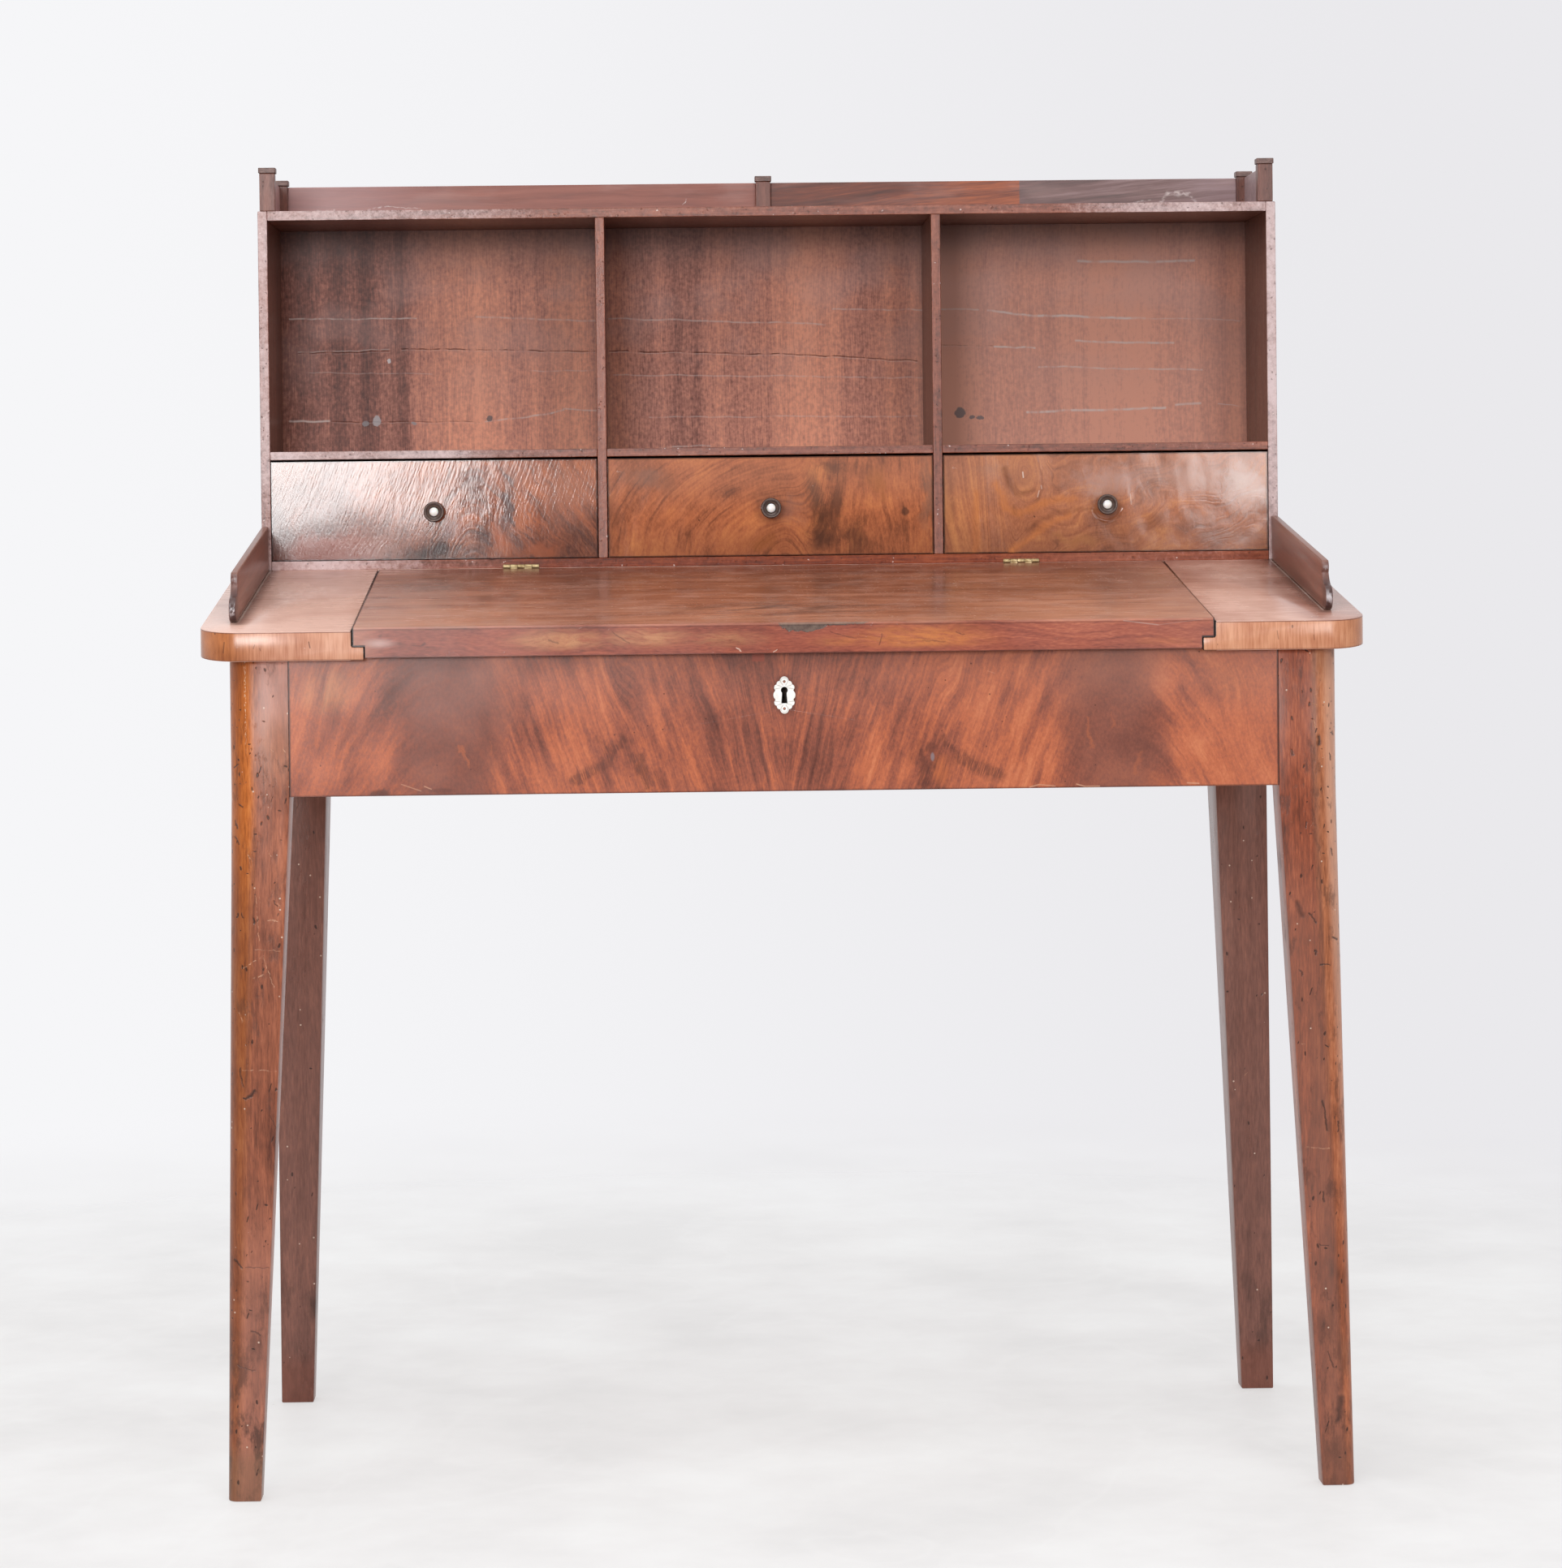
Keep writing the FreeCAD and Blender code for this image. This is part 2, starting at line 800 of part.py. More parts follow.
save("gallery_back_rails", group([gallery_back_rail(), mirrored(gallery_back_rail())]))
save("gallery_side_rails", group([gallery_side_rail(), mirrored(gallery_side_rail())]))
for number, bay in enumerate(("left", "middle", "right")):
    centre = bay_middle(number)
    save("shelf_" + bay, shelf(number))
    save("drawer_" + bay + "_front", drawer_front(centre))
    save("drawer_" + bay + "_sides", drawer_sides(centre))
    save("drawer_" + bay + "_back", drawer_back(centre))
    save("drawer_" + bay + "_floor", drawer_floor(centre))
    save("drawer_" + bay + "_knob", knob(centre))
    save("drawer_" + bay + "_knob_dot", knob_dot(centre))
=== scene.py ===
# Bonheur du jour: a ladies' writing desk in old polished mahogany.
# Metres. The front faces -Y and the floor is at Z 0.
import bpy
import bmesh
import math
from functools import reduce
from mathutils import Matrix, Vector


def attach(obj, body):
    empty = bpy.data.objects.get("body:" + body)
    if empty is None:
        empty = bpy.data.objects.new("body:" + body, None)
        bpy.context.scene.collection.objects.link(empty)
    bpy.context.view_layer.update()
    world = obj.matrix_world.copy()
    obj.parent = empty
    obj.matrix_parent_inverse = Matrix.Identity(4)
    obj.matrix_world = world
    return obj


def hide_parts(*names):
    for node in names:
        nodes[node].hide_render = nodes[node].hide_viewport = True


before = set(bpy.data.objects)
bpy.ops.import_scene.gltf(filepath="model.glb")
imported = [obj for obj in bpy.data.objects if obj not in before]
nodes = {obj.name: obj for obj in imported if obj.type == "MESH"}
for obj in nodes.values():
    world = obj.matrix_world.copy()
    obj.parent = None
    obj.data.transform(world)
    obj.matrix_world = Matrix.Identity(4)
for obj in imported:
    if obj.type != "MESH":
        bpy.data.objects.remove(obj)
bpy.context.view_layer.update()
print("frame loaded:", len(nodes), "nodes")

# measures of the desk that its patterns are laid out by
desk = {
    "front": -0.288, "topHeight": 0.761, "topSlope": 0.0517 / 0.403, "lidHalf": 0.376, "apronFoot": 0.6166,
    "keyhole": 0.7007, "drawerStep": 0.3216, "drawerHeight": 0.869, "knobHeight": 0.86705, "lidFoot": 0.7376,
    "galleryInside": 0.479, "divider": 0.1608,
}


# Small tools for materials.

def colour(r, g, b):
    def linear(v):
        v /= 255
        return v / 12.92 if v <= 0.04045 else ((v + 0.055) / 1.055) ** 2.4
    return (linear(r), linear(g), linear(b), 1)


def plug(owner, value, socket):
    value = getattr(value, "socket", value)
    if isinstance(value, bpy.types.NodeSocket):
        owner.node_tree.links.new(value, socket)
    else:
        socket.default_value = value


def addNode(owner, kind, feeds=None, **settings):
    # the owner is a material or the world
    node = owner.node_tree.nodes.new("ShaderNode" + kind)
    for name, value in settings.items():
        setattr(node, name, value)
    for name, value in (feeds or {}).items():
        plug(owner, value, node.inputs[name])
    return node


class Field:
    # a number that varies over a surface, so that patterns can be written as sums
    def __init__(self, owner, socket):
        self.owner = owner
        self.socket = socket

    def calc(self, operation, *others, clamp=False):
        feeds = dict(enumerate((self,) + others))
        node = addNode(self.owner, "Math", feeds, operation=operation, use_clamp=clamp)
        return Field(self.owner, node.outputs[0])

    def __add__(self, other):
        return self.calc("ADD", other)

    def __sub__(self, other):
        return self.calc("SUBTRACT", other)

    def __mul__(self, other):
        return self.calc("MULTIPLY", other)

    def __truediv__(self, other):
        return self.calc("DIVIDE", other)

    def __abs__(self):
        return self.calc("ABSOLUTE")

    __radd__ = __add__
    __rmul__ = __mul__

    def __rsub__(self, other):
        return self * -1 + other

    def squared(self):
        return self * self

    def root(self):
        return self.calc("SQRT")

    def high(self, other):
        return self.calc("MAXIMUM", other)

    def clip(self):
        return self.calc("ADD", 0, clamp=True)

    def ease(self, start, end, low=0, high=1):
        # smoothly from low at the start to high at the end
        feeds = {"Value": self, "From Min": start, "From Max": end, "To Min": low, "To Max": high}
        node = addNode(self.owner, "MapRange", feeds, interpolation_type="SMOOTHSTEP")
        return Field(self.owner, node.outputs[0])

    def hump(self, centre, width):
        return abs(self - centre).ease(width, 0)


class Paint:
    # a colour that varies over a surface: stops of (position, r, g, b), then coats on top
    def __init__(self, value, *stops):
        self.owner = value.owner
        node = addNode(self.owner, "ValToRGB", {"Fac": value})
        points = node.color_ramp.elements
        while len(points) < len(stops):
            points.new(0.5)
        for point, (position, *tint) in zip(points, stops):
            point.position = position
            point.color = colour(*tint)
        self.socket = node.outputs["Color"]

    def coat(self, amount, *tint):
        # the tint is r, g, b or another paint
        node = addNode(self.owner, "Mix", {"Factor": amount}, data_type="RGBA")
        plug(self.owner, self, node.inputs[6])
        plug(self.owner, colour(*tint) if len(tint) == 3 else tint[0], node.inputs[7])
        self.socket = node.outputs[2]
        return self


def split(owner, vector):
    return [Field(owner, socket) for socket in addNode(owner, "SeparateXYZ", {0: vector}).outputs]


def newMaterial(name):
    # returned as its object coordinates, which know their material
    material = bpy.data.materials.new(name)
    material.use_nodes = True
    material.node_tree.nodes.clear()
    return split(material, addNode(material, "TexCoord").outputs["Object"])


def noise(a, b, c, detail=3, rough=0.5, seed=0, twist=0):
    # the three numbers are already scaled: about one bump to each unit
    owner = next(v.owner for v in (a, b, c) if isinstance(v, Field))
    at = addNode(owner, "CombineXYZ", {0: a + seed, 1: b, 2: c}).outputs[0]
    feeds = {"Vector": at, "Scale": 1, "Detail": detail, "Roughness": rough, "Distortion": twist}
    return Field(owner, addNode(owner, "TexNoise", feeds).outputs["Fac"])


def swing(a, b, c, **look):
    # noise to both sides of nought
    return noise(a, b, c, **look) - 0.5


def highest(fields):
    return reduce(Field.high, fields)


def far(a, b):
    return (a.squared() + b.squared()).root()


def spot(x, z, cx, cz, rx, rz, edge=0.4):
    # a soft oval: its centre, its radii and how far out it stays full
    return far((x - cx) / rx, (z - cz) / rz).ease(1, edge)


def bend(x, y, z, step, amount, seed=0):
    # x and z pushed about by noise, so that marks drawn on them get uneven outlines
    pushX = swing(x / step, y / step, z / step, detail=4, rough=0.6, seed=seed)
    pushZ = swing(x / step, y / step, z / step, detail=4, rough=0.6, seed=seed + 50)
    return x + pushX * amount, z + pushZ * amount


def stroke(x, z, x0, z0, x1, z1, width):
    # a soft line from one point to the other
    dx, dz = x1 - x0, z1 - z0
    span = dx * dx + dz * dz
    share = ((x - x0) * (dx / span) + (z - z0) * (dz / span)).clip()
    return far(x - x0 - share * dx, z - z0 - share * dz).ease(width, 0)


def strokes(x, z, lines):
    # each line is x0, z0, x1, z1 and width in millimetres, then strength
    return highest([stroke(x, z, *[v / 1000 for v in line]) * strength for *line, strength in lines])


# near-black painted into the gaps beside the lid as their shadow
gapShadowBlack = (26, 16, 15)
waxed = {"Specular IOR Level": 0.5}
dullWax = {"Specular IOR Level": 0.35}
bareWax = {"Specular IOR Level": 0.2}


def surface(tint, rough, height, shine=waxed):
    # height is in metres
    owner = tint.owner
    normal = addNode(owner, "Bump", {"Height": height, "Distance": 1, "Strength": 1}).outputs[0]
    feeds = {"Base Color": tint, "Roughness": rough, "Normal": normal, **shine}
    shader = addNode(owner, "BsdfPrincipled", feeds)
    addNode(owner, "OutputMaterial", {"Surface": shader.outputs[0]})
    return owner


def dress(material, *names):
    for name in names:
        for slot in nodes[name].material_slots:
            slot.material = material


def soften(width, *names):
    for name in names:
        weld = nodes[name].modifiers.new("weld", "WELD")
        weld.merge_threshold = 0.00001
        bevel = nodes[name].modifiers.new("worn edges", "BEVEL")
        bevel.width = width
        bevel.segments = 2
        bevel.limit_method = "ANGLE"
        bevel.angle_limit = math.radians(40)
        bevel.harden_normals = True


# Wood.

def specks(x, y, z, spacing, radius, share, seed=9):
    # scattered small marks, 1 inside a mark: one to a cell, in that share of the cells
    owner = x.owner
    at = addNode(owner, "CombineXYZ", {0: x / spacing + seed, 1: y / spacing, 2: z / spacing}).outputs[0]
    cells = addNode(owner, "TexVoronoi", {"Vector": at, "Scale": 1})
    size = radius / spacing
    inside = Field(owner, cells.outputs["Distance"]).ease(size, size * 0.6)
    pick = Field(owner, addNode(owner, "SeparateColor", {0: cells.outputs["Color"]}).outputs[0])
    return inside * pick.calc("GREATER_THAN", 1 - share)


straightWoods = {
    "postWood": dict(dark=(78, 44, 36), middle=(118, 70, 58), light=(150, 98, 82), streak=0.006, rough=0.4),
    "plainWood": dict(dark=(88, 52, 40), middle=(128, 80, 62), light=(158, 104, 80), streak=0.014, rough=0.4),
}


def straightWood(name, look, grain):
    x, y, z = newMaterial(name)
    along, across, deep = {"x": (x, y, z), "y": (y, x, z), "z": (z, x, y)}[grain]
    step = look["streak"]
    broad = noise(along / (step * 22), across / step, deep / step, detail=4, rough=0.62)
    cloud = noise(x / 0.07, y / 0.07, z / 0.07, detail=2, seed=5)
    pore = noise(along / 0.007, across / 0.0008, deep / 0.0008, detail=2, rough=0.6, seed=3)
    value = broad * 0.75 + cloud * 0.35 - 0.08 + (pore - 0.5) * 0.45
    tint = Paint(value, (0.25, *look["dark"]), (0.52, *look["middle"]), (0.8, *look["light"]))
    dirt = specks(x, y, z, 0.008, 0.0012, 0.5, seed=21)
    tint.coat(dirt * 0.6, 48, 30, 26)
    chips = specks(x, y, z, 0.01, 0.0009, 0.5, seed=33)
    tint.coat(chips * 0.6, 196, 168, 156)
    rough = pore * -0.15 + look["rough"] + cloud * 0.12
    height = pore * 0.00003 + cloud * 0.0002 - dirt * 0.00008
    return surface(tint, rough, height)


# Apron: book-matched flame veneer.

apron = {
    "seam": 0.0005, "archCentre": 0.288, "plug": (-0.0225, 0.7345),
    "feathers": [
        (-140.1, 46.3, -163.8, 22.5, 9, 0.9), (-163.8, 22.5, -184.5, 11.4, 8, 0.8),
        (-154, 40, -164, 48, 6, 0.4), (-129, 30, -120, 7, 9.5, 1), (-113, 18, -106, 4, 6, 0.4),
        (138, 45.1, 120.1, 31.1, 5, 0.6), (120.1, 31.1, 122.2, 6, 8, 0.8), (138, 45.1, 150, 29, 6, 0.7),
        (152, 27.1, 184.5, 12.5, 11, 1), (116, 40, 113, 25, 8, 0.4)],
    "sparks": [
        (-283, 42, -275.5, 25, 2.2, 0.9), (-252, 20, -247, 8, 2.2, 0.7), (-260, 50, -256, 36, 1.6, 0.5),
        (266, 60, 270, 34, 2.2, 0.7), (286, 64, 287, 52, 1.4, 0.6), (312, 30, 306, 10, 3, 0.5)],
    "nibbles": [
        (255, 3, 262, 1, 1, 0.9), (262, 1, 275, 1, 0.9, 0.8), (214, 1, 222, 3, 1, 0.8),
        (222, 3, 236, 1.6, 0.9, 0.7), (-335, 10, -318, 4, 0.8, 0.6), (352, 3, 362, 2.4, 1, 0.8),
        (-315, 8, -309, 5.5, 0.8, 0.8), (178, 103, 184, 101, 0.6, 0.4)],
    "core": (0.29, 0.05, 0.058, 0.16, 0.35), "heart": (0.136, 0.017, 0.013, 0.02, 0.2),
    "filledHole": (0.129, 0.0285, 0.0022, 0.0048, 0.5), "swirl": (0.398, 0.096, 0.04, 0.03, 0),
    "bruise": (-0.354, 0.001, 0.012, 0.006, 0.5), "rubbed": (-0.3, 0.004, 0.016, 0.003, 0.3),
    "stops": [
        (0.2, 84, 44, 36), (0.38, 118, 66, 53), (0.52, 152, 84, 64), (0.68, 188, 104, 71), (0.9, 212, 130, 90)],
}


def makeApron():
    x, y, z = newMaterial("flameVeneer")
    rise = z - desk["apronFoot"]
    wander = swing(x / 0.16, rise / 0.12, y / 0.2, detail=2, seed=4)
    side = x - apron["seam"]
    u = abs(side) + wander * 0.02 + side.ease(-0.01, 0.01) * 0.004
    off = u - apron["archCentre"]
    soft = off.ease(-0.02, 0.06) * 0.03 + 0.02
    lines = rise + (far(off, soft) - soft) * 2.5 - off * 0.5
    lines = lines + (u - 0.385).high(0) * 1.6 + wander * 0.05
    # a narrow pointed arch half way along each leaf, and a droop towards the seam
    lines = lines + u.hump(0.15, 0.02) * rise.ease(0.055, 0.115) * 0.03 + (0.05 - u).high(0) * 2.4
    ripple = swing(u / 0.025, rise / 0.02, y / 0.05, seed=1)
    lines = lines + ripple * 0.01
    bands = swing(lines / 0.07, rise / 0.1, side / 0.4, rough=0.55, seed=10)
    streaks = swing(lines / 0.024, rise / 0.07, side / 0.3, detail=4, rough=0.58, seed=11)
    fine = swing(lines / 0.0065, rise / 0.03, side / 0.15, rough=0.6, seed=15)
    cloud = swing(x / 0.05, rise / 0.05, y, detail=4, seed=44)
    mottle = swing(x / 0.0022, rise / 0.0034, y / 0.01, detail=2, rough=0.6, seed=16)
    wideX, wideZ = bend(u, y, rise, 0.05, 0.03, 6)
    core = spot(wideX, wideZ, *apron["core"])
    lively = core * -0.8 + 1 - u.ease(0.35, 0.41) * side.ease(-0.05, 0.05, 0.45, 0.6)
    value = (bands * 0.5 * lively + streaks * 0.6 * lively + fine * 0.36 * (lively * 0.6 + 0.4) + cloud * 0.36
             + mottle * 0.3)
    # bright beside the heart, darker towards the seam, plain and pale at the outer ends
    value = value + 0.515 + u.ease(0.02, 0.13, -0.03, 0.05) + u.hump(0.2, 0.06) * 0.11
    value = value + u.ease(0.325, 0.37) * 0.1 - side.ease(-0.05, 0.05, 0.05, 0) * u.ease(0.08, 0.16)
    value = value - side.ease(0.385, 0.43) * 0.06 - side.ease(-0.3, -0.36) * 0.05
    tint = Paint(value, *apron["stops"])
    # dull purple bloom over the heart of each arch
    tint.coat(core * 0.7, Paint(
        cloud * 0.5 + mottle * 0.4 + streaks * 0.3 + 0.5, (0.3, 104, 62, 53), (0.55, 128, 78, 66),
        (0.8, 152, 94, 74)))
    markX, markZ = bend(x, y, rise, 0.012, 0.018, 21)
    ember = strokes(markX, markZ, apron["sparks"])
    tint.coat(ember * 0.55, 190, 104, 66)
    frayed = noise(lines / 0.004, rise / 0.015, y, detail=4, rough=0.65, seed=8).ease(0.34, 0.56)
    feathers = strokes(markX, markZ, apron["feathers"])
    tint.coat((feathers * 1.5).clip() * (frayed * 0.8 + 0.1) * 0.72, 88, 50, 42)
    heart = spot(markX, markZ, *apron["heart"])
    tint.coat(heart * (fine * 2 + 0.7).clip() * 0.7, 196, 108, 64)
    filledHole = spot(x, rise, *apron["filledHole"])
    tint.coat(filledHole * 0.8, 134, 122, 126)
    swirl = spot(wideX, wideZ, *apron["swirl"]) * side.ease(-0.01, 0.01, 1, 0.25)
    tint.coat(swirl * (streaks * 2.5 + 0.6).clip() * 0.6, 208, 146, 102)
    plugX, plugZ = apron["plug"]
    plugged = abs(x - plugX).ease(0.0055, 0.005) * abs(z - plugZ).ease(0.0045, 0.004)
    tint.coat(plugged * 0.8, 158, 74, 56)
    seam = abs(side).ease(0.0006, 0.0001) * 0.3
    tint.coat(seam, 96, 54, 46)
    # paler towards the top: painted sheen
    tint.coat(rise.ease(0.05, 0.11) * 0.08, 206, 168, 156)
    # painted shadow under the lid, and grime by the legs and along the bottom arris
    # painted shadow of the lid's overhang over the apron's top
    under = z.ease(0.72, 0.7415) * 0.38
    beside = abs(x).ease(0.4304, 0.432) * 0.9
    lip = rise.ease(0.002, 0) * 0.7
    tint.coat(under.high(beside).high(lip), 60, 36, 33)
    fromKeyhole = z - desk["keyhole"]
    # painted shade round the edge of the bone plate
    contactShade = far(x, fromKeyhole * 0.62).ease(0.0125, 0.0092)
    tint.coat(contactShade * 0.35, 70, 40, 36)
    # the keyhole's inside, painted near-black as shade
    keyhole = abs(x).ease(0.0042, 0.0036) * abs(fromKeyhole).ease(0.0094, 0.0086)
    tint.coat(keyhole, 14, 10, 9)
    bruise = spot(x, rise, *apron["bruise"])
    rubbed = spot(x, rise, *apron["rubbed"])
    tint.coat(bruise.high(rubbed * 0.6) * 0.7, 86, 50, 42)
    nibbles = strokes(x, rise, apron["nibbles"])
    tint.coat(nibbles * 0.8, 212, 160, 130)
    pits = specks(x, y, z, 0.013, 0.0009, 0.45, seed=40)
    tint.coat(pits * 0.7, 70, 38, 32)
    rough = mottle * -0.1 + cloud * 0.12 + 0.21
    height = fine * 0.00003 + wander * 0.0006 + mottle * 0.00002
    return surface(tint, rough, height)


dress(makeApron(), "apron_front")
print("apron veneered")


# Drawers: one leaf of crotch veneer each.

drawerCentres = {"left": -desk["drawerStep"], "middle": 0, "right": desk["drawerStep"]}


def drawerBase(side):
    x, y, z = newMaterial(side + "DrawerVeneer")
    return x, y, z, x - drawerCentres[side], z - desk["drawerHeight"]


def drawerPaint(x, y, z, dx, dz, value, look, contactShade=0.3):
    pore = swing(x / 0.0016, y / 0.002, z / 0.003, detail=2, rough=0.6, seed=7)
    tint = Paint(value + pore * 0.3, *look["stops"])
    softX, softZ = bend(dx, y, dz, 0.018, 0.03, 71)
    # darker and paler clouds that break up into hairs at their edges: each has its centre
    # and radii in millimetres, a colour and an amount
    hairs = noise(softX / 0.0022, y, softZ / 0.016, detail=4, rough=0.62, seed=73).ease(0.38, 0.6)
    for *at, shade, amount in look["patches"]:
        mark = (spot(softX, softZ, *[v / 1000 for v in at], 0.1) * ((value - 0.5) * -1.6 + 1)).clip()
        mark = mark * (mark + hairs * 0.9).clip()
        tint.coat(mark * amount, *shade)
    # painted shadow of the knob, a little below and right of it
    around = spot(dx, dz, 0.001, -0.0025, 0.02, 0.02, 0.45)
    tint.coat(around * contactShade, 100, 60, 46)
    pits = specks(softX, y, softZ, 0.011, 0.0009, 0.35, seed=12)
    tint.coat(pits * 0.65, 60, 36, 28)
    flecks = specks(softX, y, softZ, 0.014, 0.0009, 0.3, seed=52)
    tint.coat(flecks * 0.55, 214, 190, 176)
    # paler towards the top: painted sheen
    tint.coat(dz.ease(-0.014, 0.036) * 0.15, 206, 170, 156)
    # darker towards the bottom: painted shade
    low = dz.ease(-0.006, -0.047) * 0.3
    tint.coat(low, 60, 36, 32)
    # darker at the rim: painted shade of the gap round the drawer front
    edge = abs(dx).ease(0.1536, 0.1553).high(abs(dz).ease(0.0455, 0.0468))
    tint.coat(edge * 0.75, 52, 32, 28)
    return tint, pore


def drawerSurface(tint, pore, waves):
    return surface(tint, pore * 0.08 + 0.115, waves + pore * 0.00002)


leftDrawer = {
    "stops": [(0.2, 70, 38, 30), (0.4, 114, 64, 46), (0.56, 156, 87, 58), (0.82, 202, 116, 70)],
    "patches": [
        (-100, -40, 85, 30, (150, 68, 44), 0.8), (-148, -24, 16, 46, (74, 44, 40), 0.5),
        (-55, -30, 50, 20, (150, 78, 48), 0.5), (-6, 10, 20, 22, (176, 118, 92), 0.45),
        (18, -20, 18, 14, (140, 110, 108), 0.45), (38, 22, 26, 34, (92, 64, 62), 0.75),
        (70, 10, 14, 44, (76, 54, 54), 0.75), (0, -40, 46, 15, (56, 36, 32), 0.9),
        (46, -24, 18, 26, (70, 46, 44), 0.75), (62, -32, 16, 22, (186, 96, 52), 0.8),
        (82, -8, 8, 30, (186, 104, 62), 0.6), (100, -40, 30, 12, (178, 92, 52), 0.7),
        (128, 20, 14, 26, (168, 100, 66), 0.5), (146, -14, 16, 40, (88, 54, 42), 0.3),
        (112, 4, 10, 50, (96, 62, 50), 0.25), (125, 10, 46, 50, (178, 130, 114), 0.3)],
}


def makeLeftDrawer():
    x, y, z, dx, dz = drawerBase("left")
    wander = swing(x / 0.05, y, z / 0.04, seed=3)
    off = dx - 0.034 + wander * 0.03
    lines = dz + (off.squared() + 0.0003).root() * 1.9 - dx * 0.4
    streaks = swing(lines / 0.022, dz / 0.06, y, detail=6, rough=0.66, seed=31)
    fine = swing(lines / 0.0042, dz / 0.03, y, seed=8)
    lively = dx.ease(-0.05, 0.03, 0.35, 1)
    value = (streaks * 0.95 * lively + fine * 0.42 * lively + wander * 0.35 + 0.5 + dz * 0.8
             - dx.ease(-0.02, -0.12) * 0.14)
    buckle = swing(x / 0.008, y, z / 0.034, rough=0.6, seed=2)
    broad = swing(x / 0.11, y, z / 0.1, detail=1, seed=6)
    patchy = noise(x / 0.012, y, z / 0.02, detail=2, seed=68).ease(0.36, 0.62)
    zone = spot(dx, dz, 0.042, 0.016, 0.04, 0.052, 0.1) * patchy
    brush = swing((x - z * 0.35) / 0.0022, y, z / 0.02, detail=2, seed=66)
    creases = noise(x / 0.0032, y, z / 0.014, rough=0.6, seed=62, twist=0.6).ease(0.5, 0.62)
    waves = buckle * (zone * 0.00034 + 0.00006) + broad * 0.0008 + fine * 0.00003 + creases * zone * 0.00011
    waves = waves + brush * dz.ease(-0.03, 0.02) * 0.00007
    return drawerSurface(*drawerPaint(x, y, z, dx, dz, value, leftDrawer, 0), waves)


middleDrawer = {
    "stops": [(0.2, 98, 54, 37), (0.4, 145, 82, 53), (0.56, 184, 106, 68), (0.82, 220, 138, 82)],
    # the greyish patch just right of the knob and the tall one at the right end are painted sheen
    "patches": [
        (42, 14, 16, 34, (104, 68, 50), 0.7), (48, -22, 22, 40, (78, 46, 32), 0.85),
        (80, -32, 22, 32, (80, 46, 32), 0.75), (64, 0, 12, 50, (92, 54, 38), 0.7),
        (58, 36, 20, 14, (84, 50, 38), 0.7), (-150, -10, 10, 60, (120, 70, 48), 0.45),
        (20, -4, 20, 22, (146, 100, 84), 0.55), (104, 20, 16, 24, (178, 104, 52), 0.65),
        (-10, -34, 30, 14, (176, 102, 52), 0.55), (-100, 20, 20, 16, (132, 80, 56), 0.6),
        (150, 10, 12, 60, (132, 94, 76), 0.6), (60, 34, 14, 10, (92, 56, 42), 0.5),
        (-120, 30, 30, 16, (150, 108, 90), 0.4)],
    "knot": (0.129, -0.006, 0.0045, 0.0055, 0.5),
}


def makeMiddleDrawer():
    x, y, z, dx, dz = drawerBase("middle")
    wander = swing(x / 0.05, y, z / 0.04, seed=13)
    arcs = ((dx - 0.03).squared() * 0.9 + (dz + 0.058).squared() * 1.5).root()
    tall = abs(dx - 0.095) * 1.3 + dz * 0.12
    turn = dx.ease(0.01, 0.06)
    lines = arcs * (1 - turn) + tall * turn + wander * 0.014
    streaks = swing(lines / 0.018, dz / 0.04, dx / 0.09, detail=4, rough=0.6, seed=17)
    fine = swing(lines / 0.003, dz / 0.02, dx / 0.05, seed=18)
    ringed = noise(dx / 0.03, dz / 0.03, y, detail=2, seed=75).ease(0.4, 0.62)
    rings = abs(swing(lines / 0.012, dx / 0.3, y, detail=1, seed=76)).ease(0.035, 0) * ringed
    value = streaks * 0.4 + fine * 0.36 + wander * 0.6 + 0.55 - turn * 0.02 - rings * 0.12
    buckle = swing(x / 0.03, y, z / 0.05, detail=2, seed=2)
    tint, pore = drawerPaint(x, y, z, dx, dz, value, middleDrawer)
    ragX, ragZ = bend(dx, y, dz, 0.004, 0.004, 5)
    knot = spot(ragX, ragZ, *middleDrawer["knot"])
    tint.coat(knot * 0.7, 72, 46, 36)
    return drawerSurface(tint, pore, buckle * 0.0004 + fine * 0.00003)


rightDrawer = {
    "stops": [(0.2, 98, 60, 45), (0.4, 145, 88, 62), (0.57, 178, 110, 76), (0.82, 214, 142, 90)],
    # the three pale pinkish patches in the upper half are painted sheen
    "patches": [
        (0, 20, 54, 26, (190, 150, 138), 0.7), (85, 22, 50, 24, (190, 148, 132), 0.6),
        (134, 14, 36, 38, (206, 178, 168), 0.8), (110, -34, 50, 12, (140, 94, 76), 0.55),
        (-30, -34, 40, 10, (196, 130, 78), 0.55), (-150, 0, 10, 60, (120, 78, 58), 0.5),
        (45, -20, 30, 14, (118, 72, 50), 0.45), (-86, 20, 26, 20, (150, 92, 64), 0.4),
        (-110, 34, 30, 10, (160, 112, 90), 0.5)],
    "ribbon": [
        (-105, 20, -94, -4, 7, 0.9), (-94, -4, -82, -10, 7, 1), (-82, -10, -59, 1.5, 6, 0.8),
        (-59, 1.5, -30, 4, 5, 0.6), (-90, -46, -68, -27, 6, 0.8), (-68, -27, -36, -10.5, 6, 0.8),
        (-126, -46, -124, 10, 6, 0.6)],
    "furrow": [
        (-98, 33, -86, 9, 5, 0.9), (-86, 9, -70, 12, 5, 0.8), (-76, -23, -45, -8, 5, 0.8),
        (-45, -8, -10, -6, 5, 0.7)],
    "nicks": [
        (-79.5, 30, -79, 25, 1, 1), (-64, 12, -65.5, 6, 0.7, 0.6), (23.5, 8, 24.5, -2, 0.8, 0.4),
        (-62, 17, -61.5, 14, 0.8, 0.5)],
}


